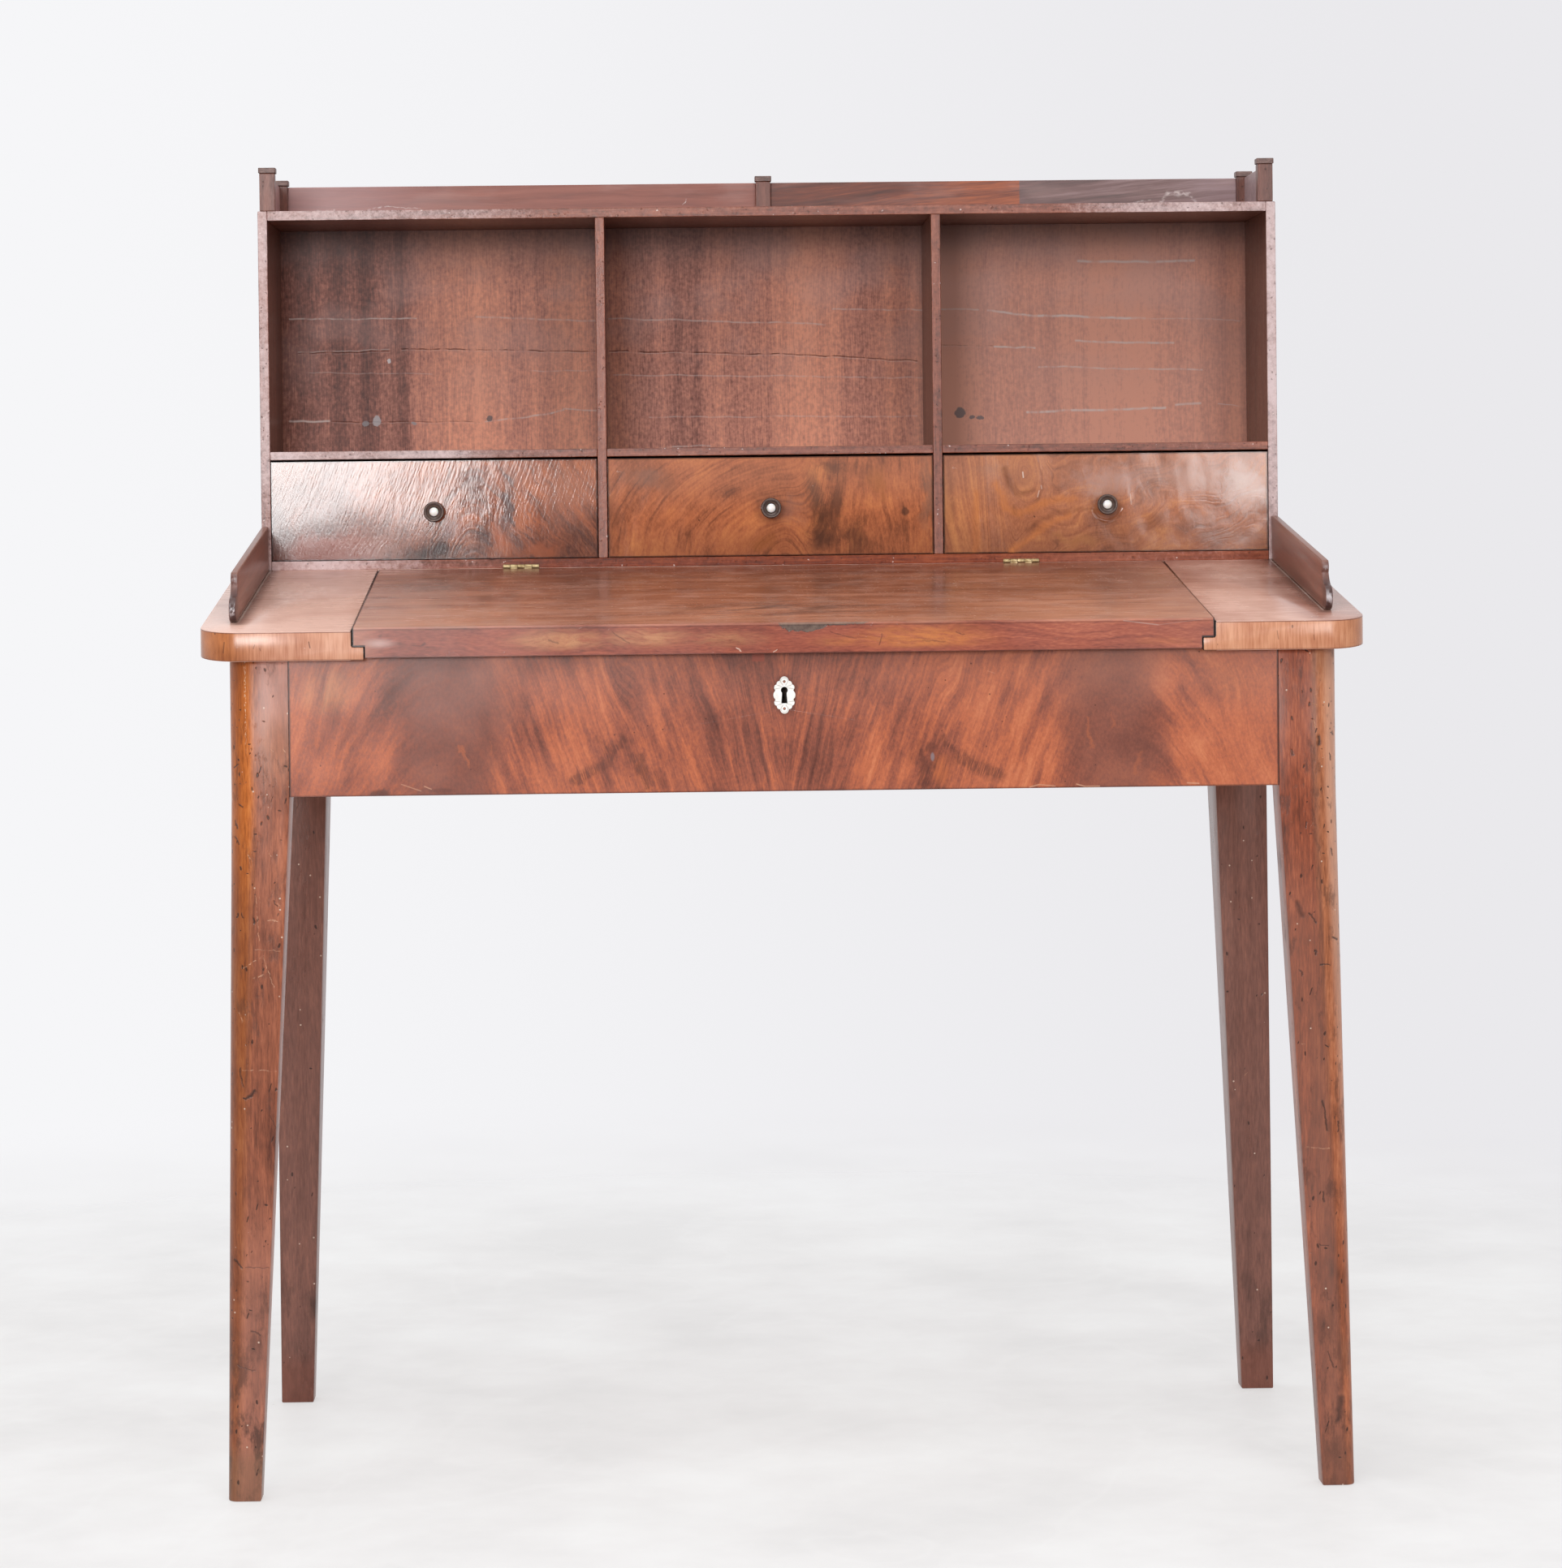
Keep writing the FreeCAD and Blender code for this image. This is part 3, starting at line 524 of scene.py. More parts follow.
def makeRightDrawer():
    x, y, z, dx, dz = drawerBase("right")
    wander = swing(x / 0.05, y, z / 0.04, seed=23)
    # a small eye near the top, with wavy ribbons flowing past it
    ex, ez = dx + 0.076 + wander * 0.02, dz - 0.03
    eye = (ex.squared() * 1.3 + (ez * 0.62).squared() + 0.00003).root()
    sway = swing(x / 0.045, y, z / 0.03, detail=1, seed=29)
    sweep = dz * 0.9 - dx * 0.3 + sway * 0.05
    level = dx.ease(-0.125, -0.085)
    past = eye.ease(0.012, 0.03)
    lines = eye * 1.2 * (1 - past) + ((sweep + 0.05) * level + (dx + dz * 0.2) * (1 - level)) * past
    lines = lines + wander * 0.012
    streaks = swing(lines / 0.016, dx / 0.07, y, detail=6, rough=0.66, seed=27)
    fine = swing(lines / 0.003, dx / 0.04, y, seed=28)
    rings = abs(swing(lines / 0.01, dx / 0.3, y, detail=1, seed=77)).ease(0.035, 0)
    value = (streaks * 0.62 + fine * 0.36 + wander * 0.5 + 0.56 - dx * 0.35
             - rings * dx.ease(-0.02, -0.05) * 0.08)
    buckle = swing(x / 0.035, y, z / 0.05, detail=2, seed=5)
    ring = far(dx - 0.001, dz + 0.0035).hump(0.014, 0.0022)
    waves = buckle * 0.00045 + fine * 0.00003 + ring * dz.ease(-0.004, -0.01) * 0.0004
    tint, pore = drawerPaint(x, y, z, dx, dz, value, rightDrawer)
    flowX, flowZ = bend(dx, y, dz, 0.02, 0.014, 78)
    ribbon = strokes(flowX, flowZ, rightDrawer["ribbon"])
    tint.coat(ribbon * (streaks * 1.5 + 0.6).clip(), 206, 124, 66)
    furrow = strokes(flowX, flowZ, rightDrawer["furrow"])
    tint.coat(furrow * (streaks * -1.5 + 0.5).clip(), 112, 64, 42)
    nicks = strokes(dx, dz, rightDrawer["nicks"])
    tint.coat(nicks * 0.9, 236, 218, 206)
    return drawerSurface(tint, pore, waves)


dress(makeLeftDrawer(), "drawer_left_front")
dress(makeMiddleDrawer(), "drawer_middle_front")
dress(makeRightDrawer(), "drawer_right_front")
print("drawer fronts veneered")


# Back panel of the compartments.

backPanel = {
    "darkBands": [
        (-0.43, 0.05, 0.5), (-0.394, 0.014, 0.9), (-0.361, 0.01, 1.2), (-0.105, 0.04, 0.75),
        (-0.07, 0.024, 0.8), (0.094, 0.014, 0.7), (0.455, 0.016, 0.4)],
    "glow": [
        (-0.29, 0.06, 1), (-0.195, 0.045, 0.7), (0.048, 0.06, 1.2), (0.137, 0.03, 0.6), (0.182, 0.04, 1.5),
        (0.35, 0.07, 1.3), (0.462, 0.03, 0.4)],
    "wax": [
        (-470, 1061, -345, 1060, 1.4, 0.9), (-285, 1061, -168, 1056, 1.6, 0.55),
        (-462, 1028, -372, 1030, 1.2, 0.5), (-471, 960, -432, 959, 1.8, 1), (-278, 957, -236, 961, 1.4, 0.7),
        (-236, 961, -200, 968, 1.6, 0.9), (-200, 969, -168, 967, 1.4, 0.7), (-232, 1007, -170, 1007, 1.2, 0.45),
        (-455, 1008, -330, 1005, 1, 0.35), (-154, 1058, 60, 1050, 1.5, 0.6), (68, 1065, 212, 1063, 1.5, 0.6),
        (-150, 1002, 168, 996, 1.2, 0.45), (-115, 960, 150, 958, 1.2, 0.4), (-105, 930, -55, 931, 1.4, 0.6),
        (312, 1110, 427, 1109, 2.2, 0.8), (222, 1062, 262, 1057, 1.8, 0.9), (262, 1057, 378, 1053, 2, 1),
        (378, 1053, 472, 1050, 1.2, 0.35), (228, 1026, 268, 1025, 1.5, 1), (309, 1031, 406, 1028, 1.8, 0.8),
        (272, 1006, 434, 1001, 1.5, 0.65), (260, 961, 397, 964, 2, 0.9), (408, 966, 432, 968, 2, 0.7),
        (450, 967, 474, 965, 1, 0.5)],
    "cracks": [
        (-360, 1030, -168, 1026, 0.7, 0.9), (-462, 1027, -372, 1028.5, 0.6, 0.6),
        (-430, 959, -280, 957, 0.6, 0.6), (-154, 1026, -50, 1023, 0.8, 0.9), (-50, 1023, 80, 1018, 0.8, 0.9),
        (80, 1018, 151, 1013, 0.8, 0.8), (168, 1028, 226, 1027, 0.6, 0.5)],
    "grey": [
        (0.193, 0.961, 0.006, 0.006, 104), (0.205, 0.9565, 0.0036, 0.0022, 110),
        (0.213, 0.956, 0.0045, 0.0022, 110), (-0.3852, 0.959, 0.0046, 0.006, 178),
        (-0.3964, 0.9566, 0.004, 0.003, 140), (-0.2735, 0.9601, 0.0032, 0.0034, 92),
        (-0.3483, 0.9561, 0.0026, 0.002, 150), (-0.3724, 1.0182, 0.0018, 0.0028, 216)],
    "stops": [(0.16, 88, 50, 43), (0.36, 136, 83, 71), (0.54, 184, 120, 102), (0.82, 232, 156, 126)],
    "rearStops": [(0.3, 98, 60, 45), (0.52, 136, 89, 66), (0.78, 166, 115, 87)],
}


def makeBackPanel():
    x, y, z = newMaterial("backVeneer")
    wave = swing(x / 0.3, y, z / 0.2, detail=2, seed=2)
    across = x + wave * 0.012
    broad = swing(across / 0.012, y, z / 0.9, detail=5, rough=0.62, seed=1)
    fine = swing(across / 0.0013, y, z / 0.016, rough=0.65, seed=5)
    mottle = swing(x / 0.0035, y, z / 0.004, detail=2, rough=0.6, seed=6)
    value = broad * 0.52 + fine * 0.5 + mottle * 0.5 + 0.555
    for centre, width, lift in backPanel["glow"]:
        value = value + across.hump(centre, width) * lift * 0.13
    for centre, width, depth in backPanel["darkBands"]:
        value = value - across.hump(centre, width) * depth * 0.17
    value = (value + (1.03 - z) * x.ease(-0.16, -0.15, 0.2, 0.05) + x.ease(-0.375, -0.34, -0.13, 0.02)
             + x.ease(0.16, 0.17) * 0.12)
    tint = Paint(value, *backPanel["stops"])
    # paler over the right compartment: painted sheen
    tint.coat(x.ease(0.12, 0.18) * 0.38, 190, 146, 136)
    # greyish pale bloom, thicker towards the top
    bloom = noise(x / 0.07, y, z / 0.05, detail=4, seed=14).ease(0.42, 0.66) * z.ease(0.93, 1.08)
    tint.coat(bloom * 0.3, 184, 148, 142)
    waver = swing(x / 0.022, y, z / 0.3, detail=2, seed=25)
    level = z + waver * 0.004
    broken = noise(x / 0.012, y, z / 0.05, rough=0.6, seed=26).ease(0.34, 0.55)
    cracks = strokes(x, level, backPanel["cracks"]) * broken
    wax = strokes(x, level, backPanel["wax"])
    tint.coat(cracks * 0.9, 46, 30, 29)
    underCrack = strokes(x, level + 0.0014, backPanel["cracks"]) * 0.5
    wax = wax.high(underCrack) * (broken * 0.75 + 0.25)
    tint.coat(wax * x.ease(0.15, 0.17, 0.8, 0.95), 212, 192, 186)
    ragX, ragZ = bend(x, y, z, 0.004, 0.004, 31)
    for cx, cz, rx, rz, grey in backPanel["grey"]:
        ragged = spot(ragX, ragZ, cx, cz, rx, rz, 0.75)
        tint.coat(ragged * 0.85, grey, grey - 8, grey - 6)
    # painted shade in the inside corners beside the sides and dividers
    for corner in (-0.478, -0.1653, -0.1564, 0.1564, 0.1653, 0.478):
        tint.coat(x.hump(corner, 0.008) * 0.25, 60, 38, 34)
    shade = z.ease(1.08, 1.148) * 0.7
    tint.coat(shade, 58, 34, 31)
    # the rear face is plain and unpolished
    rear = y.ease(0.278, 0.28)
    sawn = noise(x / 0.003, y, z / 0.12, detail=4, rough=0.65, seed=81)
    stain = noise(x / 0.1, y, z / 0.14, detail=4, seed=82)
    plain = Paint(sawn * 0.55 + stain * 0.5, *backPanel["rearStops"])
    tint.coat(rear, plain)
    rough = fine * 0.1 + 0.42 + rear * 0.22
    height = (fine * 0.00005 + wax * 0.0002 - cracks * 0.0003) * (1 - rear) + sawn * rear * 0.0002
    return surface(tint, rough, height, bareWax)


dress(makeBackPanel(), "case_back")
print("back panel veneered")


# Writing lid and the fixed boards beside it.

def levelled(y, z):
    # height, less what the sloping top has risen by
    return z - (y - desk["front"]).high(0) * desk["topSlope"]


lid = {
    "chips": [(0.017, 0.7636, 0.022, 0.0078), (0.045, 0.7646, 0.03, 0.0032)],
    "straw": [
        (-0.196, 0.0135, 0.062, 0.014, 1.2), (-0.12, 0.0145, 0.06, 0.012, 1), (-0.05, 0.013, 0.05, 0.01, 0.7),
        (0.12, 0.012, 0.085, 0.018, 1.2), (0.05, 0.01, 0.04, 0.008, 0.6), (0.33, 0.006, 0.04, 0.006, 0.4)],
    "scratches": [
        (-315, 10, -312, 12, 1.8, 1), (-205, 14, -196, 10, 1.2, 0.8), (-150, 20, -135, 10, 0.9, 0.8),
        (40, 18, 62, 12, 0.8, 0.8), (85, 16, 83, 6, 0.9, 0.8), (120, 10, 140, 8, 0.9, 0.7),
        (-352, 19, -350, 20, 1.6, 0.8), (150, 16, 158, 15, 0.9, 0.8)],
    "glints": [(-42, 4.5, -38, 3, 0.7, 1), (-10, 1, -7, 3, 0.6, 0.8)],
    "crack": [(296, 762.5, 326, 758.5, 0.9, 1), (326, 758.5, 365, 763, 0.6, 0.5)],
    "stain": (0, 0.09, 0.17, 0.09, 0), "bruise": (-0.352, 0.0125, 0.02, 0.006, 0),
    "topStops": [(0.18, 84, 48, 38), (0.4, 126, 78, 60), (0.56, 156, 101, 79), (0.82, 198, 138, 110)],
    "bandStops": [(0.22, 100, 48, 38), (0.44, 138, 70, 55), (0.6, 160, 84, 64), (0.84, 192, 110, 80)],
    "strawStops": [(0, 196, 138, 96), (1, 204, 124, 66)],
}


def makeLid():
    x, y, z = newMaterial("lidVeneer")
    back = y - desk["front"]
    wander = swing(x / 0.25, back / 0.08, z / 0.2, seed=3)
    across = back + wander * 0.06
    broad = swing(x / 0.3, across / 0.02, z / 0.05, detail=5, rough=0.62, seed=7)
    fine = swing(x / 0.035, across / 0.003, z / 0.02, rough=0.6, seed=8)
    cloud = swing(x / 0.12, back / 0.16, z / 0.2, seed=9)
    value = (broad * 0.78 + fine * 0.42 + cloud * 0.6 + 0.44 + x.ease(-0.36, -0.1, 0.07, 0)
             + back.ease(0, 0.3, 0.21, 0))
    value = value + x.ease(0.05, 0.3) * 0.06
    top = Paint(value, *lid["topStops"])
    # a feathered dark figure behind the lost veneer
    feathering = noise(x / 0.05, (back - x * 0.25) / 0.016, z, detail=5, rough=0.62, seed=19)
    stain = spot(x, back, *lid["stain"]) * feathering.ease(0.44, 0.6)
    top.coat(stain * 0.8, 70, 42, 33)
    # a pale painted sheen in patches
    sheenVeil = noise(x / 0.03, back / 0.03, z, detail=5, rough=0.65, seed=63).ease(0.42, 0.66)
    top.coat(sheenVeil * 0.18, 206, 172, 160)
    # paler towards both ends, most at the left: painted sheen
    top.coat(abs(x).ease(0.27, 0.37) * x.ease(-0.05, 0.05, 0.24, 0.14), 206, 176, 166)
    dust = specks(x, y, z, 0.006, 0.0008, 0.6, seed=61).high(specks(x, y, z, 0.017, 0.0013, 0.4, seed=64))
    top.coat(dust * 0.75, 214, 186, 168)
    # the front band: redder, with straw-coloured feathering
    up = z - desk["lidFoot"]
    bandWander = swing(x / 0.09, up / 0.05, back, seed=33)
    bandLines = up + bandWander * 0.04 + x * 0.05
    bandStreak = swing(x / 0.12, bandLines / 0.006, back, detail=5, rough=0.62, seed=35)
    bandFine = swing(x / 0.006, up / 0.0015, back, detail=2, seed=37)
    bandValue = bandStreak * 0.85 + bandFine * 0.45 + bandWander * 0.45 + 0.5 + x.ease(0, 0.2) * 0.05
    band = Paint(bandValue, *lid["bandStops"])
    straw = highest(
        [(spot(x, up, *at, 0) * amount).clip() for *at, amount in lid["straw"]]) * up.ease(0.001, 0.007)
    weave = noise(x / 0.02, bandLines / 0.004, back, detail=4, rough=0.6, seed=36)
    strawTint = Paint(x.ease(-0.02, 0.06), *lid["strawStops"])
    band.coat(straw * weave.ease(0.2, 0.66) * 0.82, strawTint)
    # curly hair cracks in the straw
    curlX, curlZ = bend(x, back, up, 0.006, 0.007, 38)
    curl = swing((curlX + curlZ * 1.6) / 0.0035, curlZ / 0.004, back, rough=0.6, seed=39)
    curl = abs(curl).ease(0.012, 0) * straw
    band.coat(curl * 0.45, 96, 54, 38)
    band.coat(x.ease(-0.345, -0.374) * 0.45, 172, 122, 102)
    scribeX, scribeZ = bend(x, back, up, 0.008, 0.006, 47)
    scratches = strokes(scribeX, scribeZ, lid["scratches"])
    band.coat(scratches * 0.65, 66, 40, 36)
    glints = strokes(scribeX, scribeZ, lid["glints"])
    band.coat(glints * 0.8, 226, 200, 182)
    # veneer lost at the top edge
    tear = swing(x / 0.006, up / 0.006, back, detail=4, rough=0.65, seed=44)
    chip = highest([spot(x + tear * 0.008, z + tear * 0.006, *at, 0.92) for at in lid["chips"]])
    band.coat(chip * 0.9, Paint(tear + 0.5, (0.35, 76, 66, 60), (0.65, 112, 98, 88)))
    lip = chip * (1 - chip) * 4
    band.coat(lip * 0.6, 52, 34, 30)
    crack = strokes(x, z, lid["crack"])
    band.coat(crack * 0.8, 176, 140, 128)
    bruise = spot(x, up, *lid["bruise"])
    band.coat(bruise * 0.55, 206, 176, 168)
    front = y.ease(-0.2872, -0.2878)
    tint = top.coat(front, band)
    # painted highlight along the top arris of the front band
    bright = z.ease(0.7622, 0.763) * y.ease(-0.286, -0.2872)
    tint.coat(bright * (cloud * 2 + 0.5).clip() * 0.6, 214, 160, 136)
    arris = abs(z - 0.7617).ease(0.001, 0.0003) * front * 0.6
    ends = abs(x).ease(0.3738, 0.3746).high(abs(x).ease(0.3638, 0.3645) * up.ease(0.0114, 0.0108))
    rear = y.ease(0.1085, 0.1115) * 0.8
    grime = (arris * 0.55).high(rear).high(up.ease(0.0012, 0) * 0.7)
    tint.coat(grime, 64, 38, 33)
    # the gap's shadow is painted black at the top and in front, and only darkens the wood further in
    depth = desk["topHeight"] - levelled(y, z)
    inside = depth.ease(0.001, 0.006, 1, 0.35).high(y.ease(-0.285, -0.272, 1, 0.35))
    tint.coat(ends * inside * 0.95, *gapShadowBlack)
    rough = cloud * 0.2 + fine * 0.1 + 0.24 + stain * 0.1
    height = fine * 0.00004 + cloud * 0.0004 - chip * front * 0.0004 + dust * 0.00004
    return surface(tint, rough, height)


topBoards = {
    "cuts": [
        (-487.5, 743.5, -486.5, 752.5, 0.9, 0.9), (-413, 752, -412, 747, 1, 0.9),
        (-460, 750, -461, 747, 0.8, 0.7), (-455.5, 747, -455, 745, 0.8, 0.7), (430, 752, 431, 745, 0.8, 0.6),
        (462, 748, 462.5, 744, 0.8, 0.6)],
    # the pale pinkish top colours are partly painted sheen over the wood's own colour
    "topStops": [(0.2, 130, 88, 76), (0.42, 174, 127, 112), (0.58, 202, 155, 139), (0.82, 230, 188, 172)],
    "bandStops": [(0.2, 150, 92, 68), (0.42, 190, 128, 100), (0.58, 212, 154, 126), (0.84, 234, 184, 158)],
}


def makeTopBoards():
    x, y, z = newMaterial("topBoardVeneer")
    wander = swing(x / 0.1, y / 0.18, z / 0.2, seed=3)
    broad = swing(x / 0.25, (y + wander * 0.04) / 0.018, z / 0.05, detail=4, rough=0.6, seed=2)
    fine = swing(x / 0.03, y / 0.003, z / 0.02, rough=0.6, seed=4)
    cloud = swing(x / 0.06, y / 0.1, z / 0.06, seed=5)
    value = (broad * 0.34 + fine * 0.34 + cloud * 0.6 + 0.53 + x.ease(-0.3, 0.3, 0.24, 0.06)
             + y.ease(-0.05, -0.26) * 0.04)
    value = value - abs(x).ease(0.445, 0.475) * x.ease(0, 0.1) * 0.16 + x.hump(0.43, 0.05) * 0.14
    top = Paint(value, *topBoards["topStops"])
    dust = specks(x, y, z, 0.0075, 0.001, 0.6, seed=61)
    top.coat(dust * 0.75, 226, 204, 194)
    # dirt and a lifted seam along the foot of each side gallery
    beside = abs(abs(x) - desk["galleryInside"])
    grime = beside.ease(0.012, 0) * y.ease(-0.25, -0.235)
    top.coat(grime * 0.65, 84, 58, 52)
    lifted = beside.ease(0.0012, 0.0002) * y.ease(-0.235, -0.22) * cloud.ease(-0.25, 0.1)
    top.coat(lifted * 0.7, 210, 196, 186)
    rim = levelled(y, z)
    hidden = (desk["topHeight"] - rim).ease(0.002, 0.008, 1, 0.35)
    hidden = hidden.high(y.ease(-0.285, -0.272, 1, 0.35)) * y.ease(0.112, 0.11)
    # painted gap shadow beside the lid's ends
    inner = abs(x).ease(0.3774, 0.3764)
    top.coat(inner * hidden * 0.95, *gapShadowBlack)
    # cross-banded front edge, its streaks upright
    turnX, turnY = abs(x) - 0.474, y + 0.252
    around = x + turnY * 0.8
    upright = swing(around / 0.011, z / 0.1, around / 0.4, detail=4, rough=0.62, seed=12)
    hair = swing(around / 0.0016, z / 0.02, turnY / 0.2, detail=2, seed=13)
    wave = swing(around / 0.04, z / 0.03, turnX / 0.2, detail=2, seed=14)
    bandValue = upright * 0.42 + hair * 0.42 + wave * 0.5 + 0.52
    band = Paint(bandValue, *topBoards["bandStops"])
    band.coat(x.ease(0, 0.1) * 0.5, Paint(
        bandValue, (0.2, 144, 84, 52), (0.42, 190, 120, 82), (0.58, 214, 148, 108), (0.84, 232, 176, 140)))
    corner = (abs(x) - x.ease(-0.1, 0.1, 0.442, 0.478)).ease(0, x.ease(-0.1, 0.1, 0.044, 0.028))
    band.coat(corner * x.ease(-0.1, 0.1, 0.94, 0.7), Paint(bandValue, (0.3, 138, 76, 42), (0.7, 206, 128, 76)))
    marks = specks(x, z * 0.6, y, 0.012, 0.0011, 0.6, seed=71)
    band.coat(marks * 0.7, 92, 56, 44)
    cuts = strokes(x, z, topBoards["cuts"])
    band.coat(cuts * 0.8, 84, 50, 40)
    edge = rim.ease(0.7594, 0.7603) * 0.85
    band.coat(edge, 104, 56, 42)
    foot = rim.ease(0.7375, 0.7357)
    band.coat(foot * 0.7, 122, 68, 46)
    level = rim.ease(0.7602, 0.7608)
    under = rim.ease(0.736, 0.7356)
    # the tongue under the lid's end is banded in front too, with a painted gap shadow round it
    tongue = abs(x).ease(0.3764, 0.3758)
    sideways = tongue * y.ease(-0.2875, -0.2868)
    tint = band.coat(level.high(under).high(sideways), top)
    behind = y.ease(0.287, 0.2876)
    tint.coat(behind * 0.85, Paint(value, (0.3, 92, 57, 46), (0.6, 124, 80, 65), (0.85, 150, 102, 84)))
    # painted shadow in the gaps round the lid's ends and the tongue
    joint = abs(abs(x) - desk["lidHalf"]).ease(0.001, 0.0004) * rim.ease(0.7478, 0.7482)
    joint = joint.high(abs(x).ease(0.3662, 0.3656) * tongue).high(rim.ease(0.7472, 0.7478) * tongue)
    tint.coat(joint * hidden * 0.95, *gapShadowBlack)
    rough = cloud * 0.24 + fine * 0.1 + 0.25
    height = fine * 0.00004 + cloud * 0.0004 + dust * 0.00004
    return surface(tint, rough, height)


dress(makeLid(), "writing_lid")
topBoardWood = makeTopBoards()
dress(topBoardWood, "top_board_rear")
print("writing top veneered")


# Carcase, legs, galleries.

legRounding = {"from": 0.464, "splay": 0.0365}


def makeLegWood(name, look):
    x, y, z = newMaterial(name)
    sway = swing(x / 0.1, y / 0.1, z / 0.25, detail=2, seed=1)
    ax, ay = x + sway * 0.012, y + sway * 0.01
    broad = swing(ax / 0.007, ay / 0.009, z / 0.3, detail=5, rough=0.64, seed=2)
    fine = swing(ax / 0.0016, ay / 0.0025, z / 0.014, rough=0.65, seed=3)
    cloud = swing(x / 0.04, y / 0.05, z / 0.1, detail=5, rough=0.64, seed=4)
    value = (broad * look["streak"] + fine * 0.72 + cloud * look["cloud"] + 0.5
             + z.ease(0.58, 0.68) * look["lift"])
    tint = Paint(value, (0.18, *look["dark"]), (0.5, *look["middle"]), (0.84, *look["light"]))
    if "gold" in look:
        # the rounded outer corner is another colour, with a dull line where it begins
        start = (desk["apronFoot"] - z).high(0) * legRounding["splay"] + legRounding["from"]
        past = abs(x) - start
        curved = past.ease(-0.0055, 0.0035)
        gold = Paint(value, *[(at, *shade) for at, shade in zip((0.18, 0.5, 0.84), look["gold"])])
        tint.coat(curved * z.ease(0.15, 0.6, 0.35, 0.92), gold)
        line = abs(past).ease(0.003, 0)
        tint.coat(line * look["line"], 84, 48, 36)
        # painted sheen near the top of the front face
        sheenHaze = z.ease(0.605, 0.665) * past.ease(-0.001, -0.012) * (cloud * 1.6 + 0.7).clip()
        sheenHazeTint = Paint(z.ease(0.655, 0.71), (0, 214, 152, 122), (1, 224, 184, 174))
        tint.coat(sheenHaze * look["sheenHaze"], sheenHazeTint)
        # on the right leg the outermost band is a painted highlight; on the left it is darker amber wood
        outermost, amount = look["outermost"]
        tint.coat(past.ease(0.006, 0.013) * amount * z.ease(0.2, 0.6, 0.3, 1), *outermost)
        tint.coat(z.ease(0.62, 0.48) * curved.ease(0, 1, 0.14, look["deep"]), 84, 48, 38)
        beside = past.ease(-0.024, -0.008) * (1 - curved)
        tint.coat(z.ease(0.5, 0.38) * beside * look["shadow"], 84, 48, 36)
        # painted shadow of the top, at the top of the rounded corner
        tint.coat(z.ease(0.7, 0.735) * curved * 0.35, 84, 48, 30)
        # paler towards the foot: painted sheen
        tint.coat(z.ease(0.3, 0.16) * (1 - curved) * look["sheenHaze"] * 0.35, 196, 146, 132)
        tint.coat(z.ease(0.6, 0.48) * (1 - curved) * look["lower"], 190, 150, 134)
        glint = noise(x / 0.0012, y / 0.002, z / 0.0026, detail=2, seed=93).ease(0.48, 0.6) * z.ease(0.64, 0.7)
        tint.coat(past.hump(0.0062, 0.0014) * glint * look["sheenHaze"], 232, 210, 184)
    scuff = noise(x / 0.014, y / 0.02, z / 0.035, detail=5, rough=0.7, seed=5).ease(0.55, 0.68)
    tint.coat(scuff * look["scuff"], 62, 38, 32)
    worn = z.ease(0.26, 0.03)
    smoke = noise(x / 0.02, y / 0.03, z / 0.05, detail=5, rough=0.7, seed=6).ease(0.46, 0.62) * worn
    tint.coat(smoke * look["smoke"], 58, 38, 32)
    foot = z.ease(0.055, 0.03)
    tint.coat(foot * 0.5, *look["foot"])
    # dents, longer along or across the leg, and pale flecks and scratches
    bent = noise(x / 0.02, y / 0.02, z / 0.02, seed=7) * 0.01
    dents = specks(x + bent, y, z * 0.45, 0.0085, 0.0012, look["dents"], seed=41)
    dashes = specks((x + z * 0.5) * 0.5, y, z + bent, 0.008, 0.0009, look["dents"], seed=45)
    ticks = specks((x - z * 0.3) * 0.8, y, z * 0.35 + bent, 0.0052, 0.0006, look["dents"], seed=48)
    dents = dents.high(dashes).high(ticks)
    tint.coat(dents * 0.8, 42, 26, 22)
    flecks = specks(x, y, z, 0.011, 0.001, 0.4, seed=43)
    tint.coat(flecks * 0.8, 214, 190, 172)
    kinkX, kinkZ = bend(x, y, z, 0.006, 0.005, 15)
    broken = noise(x / 0.004, y / 0.01, z / 0.004, rough=0.65, seed=16).ease(0.4, 0.6)
    cuts = strokes(kinkX, kinkZ, look["cuts"]) * broken
    tint.coat(cuts * 0.65, 208, 158, 126)
    gashes = strokes(kinkX, kinkZ, look["gashes"])
    tint.coat(gashes * 0.85, 40, 26, 24)
    rough = cloud * 0.18 + look["rough"] + scuff * 0.1
    height = fine * 0.00003 + cloud * 0.0005 - dents * 0.0003 - scuff * 0.0001 - cuts * 0.0001 - gashes * 0.0003
    return surface(tint, rough, height, dullWax)


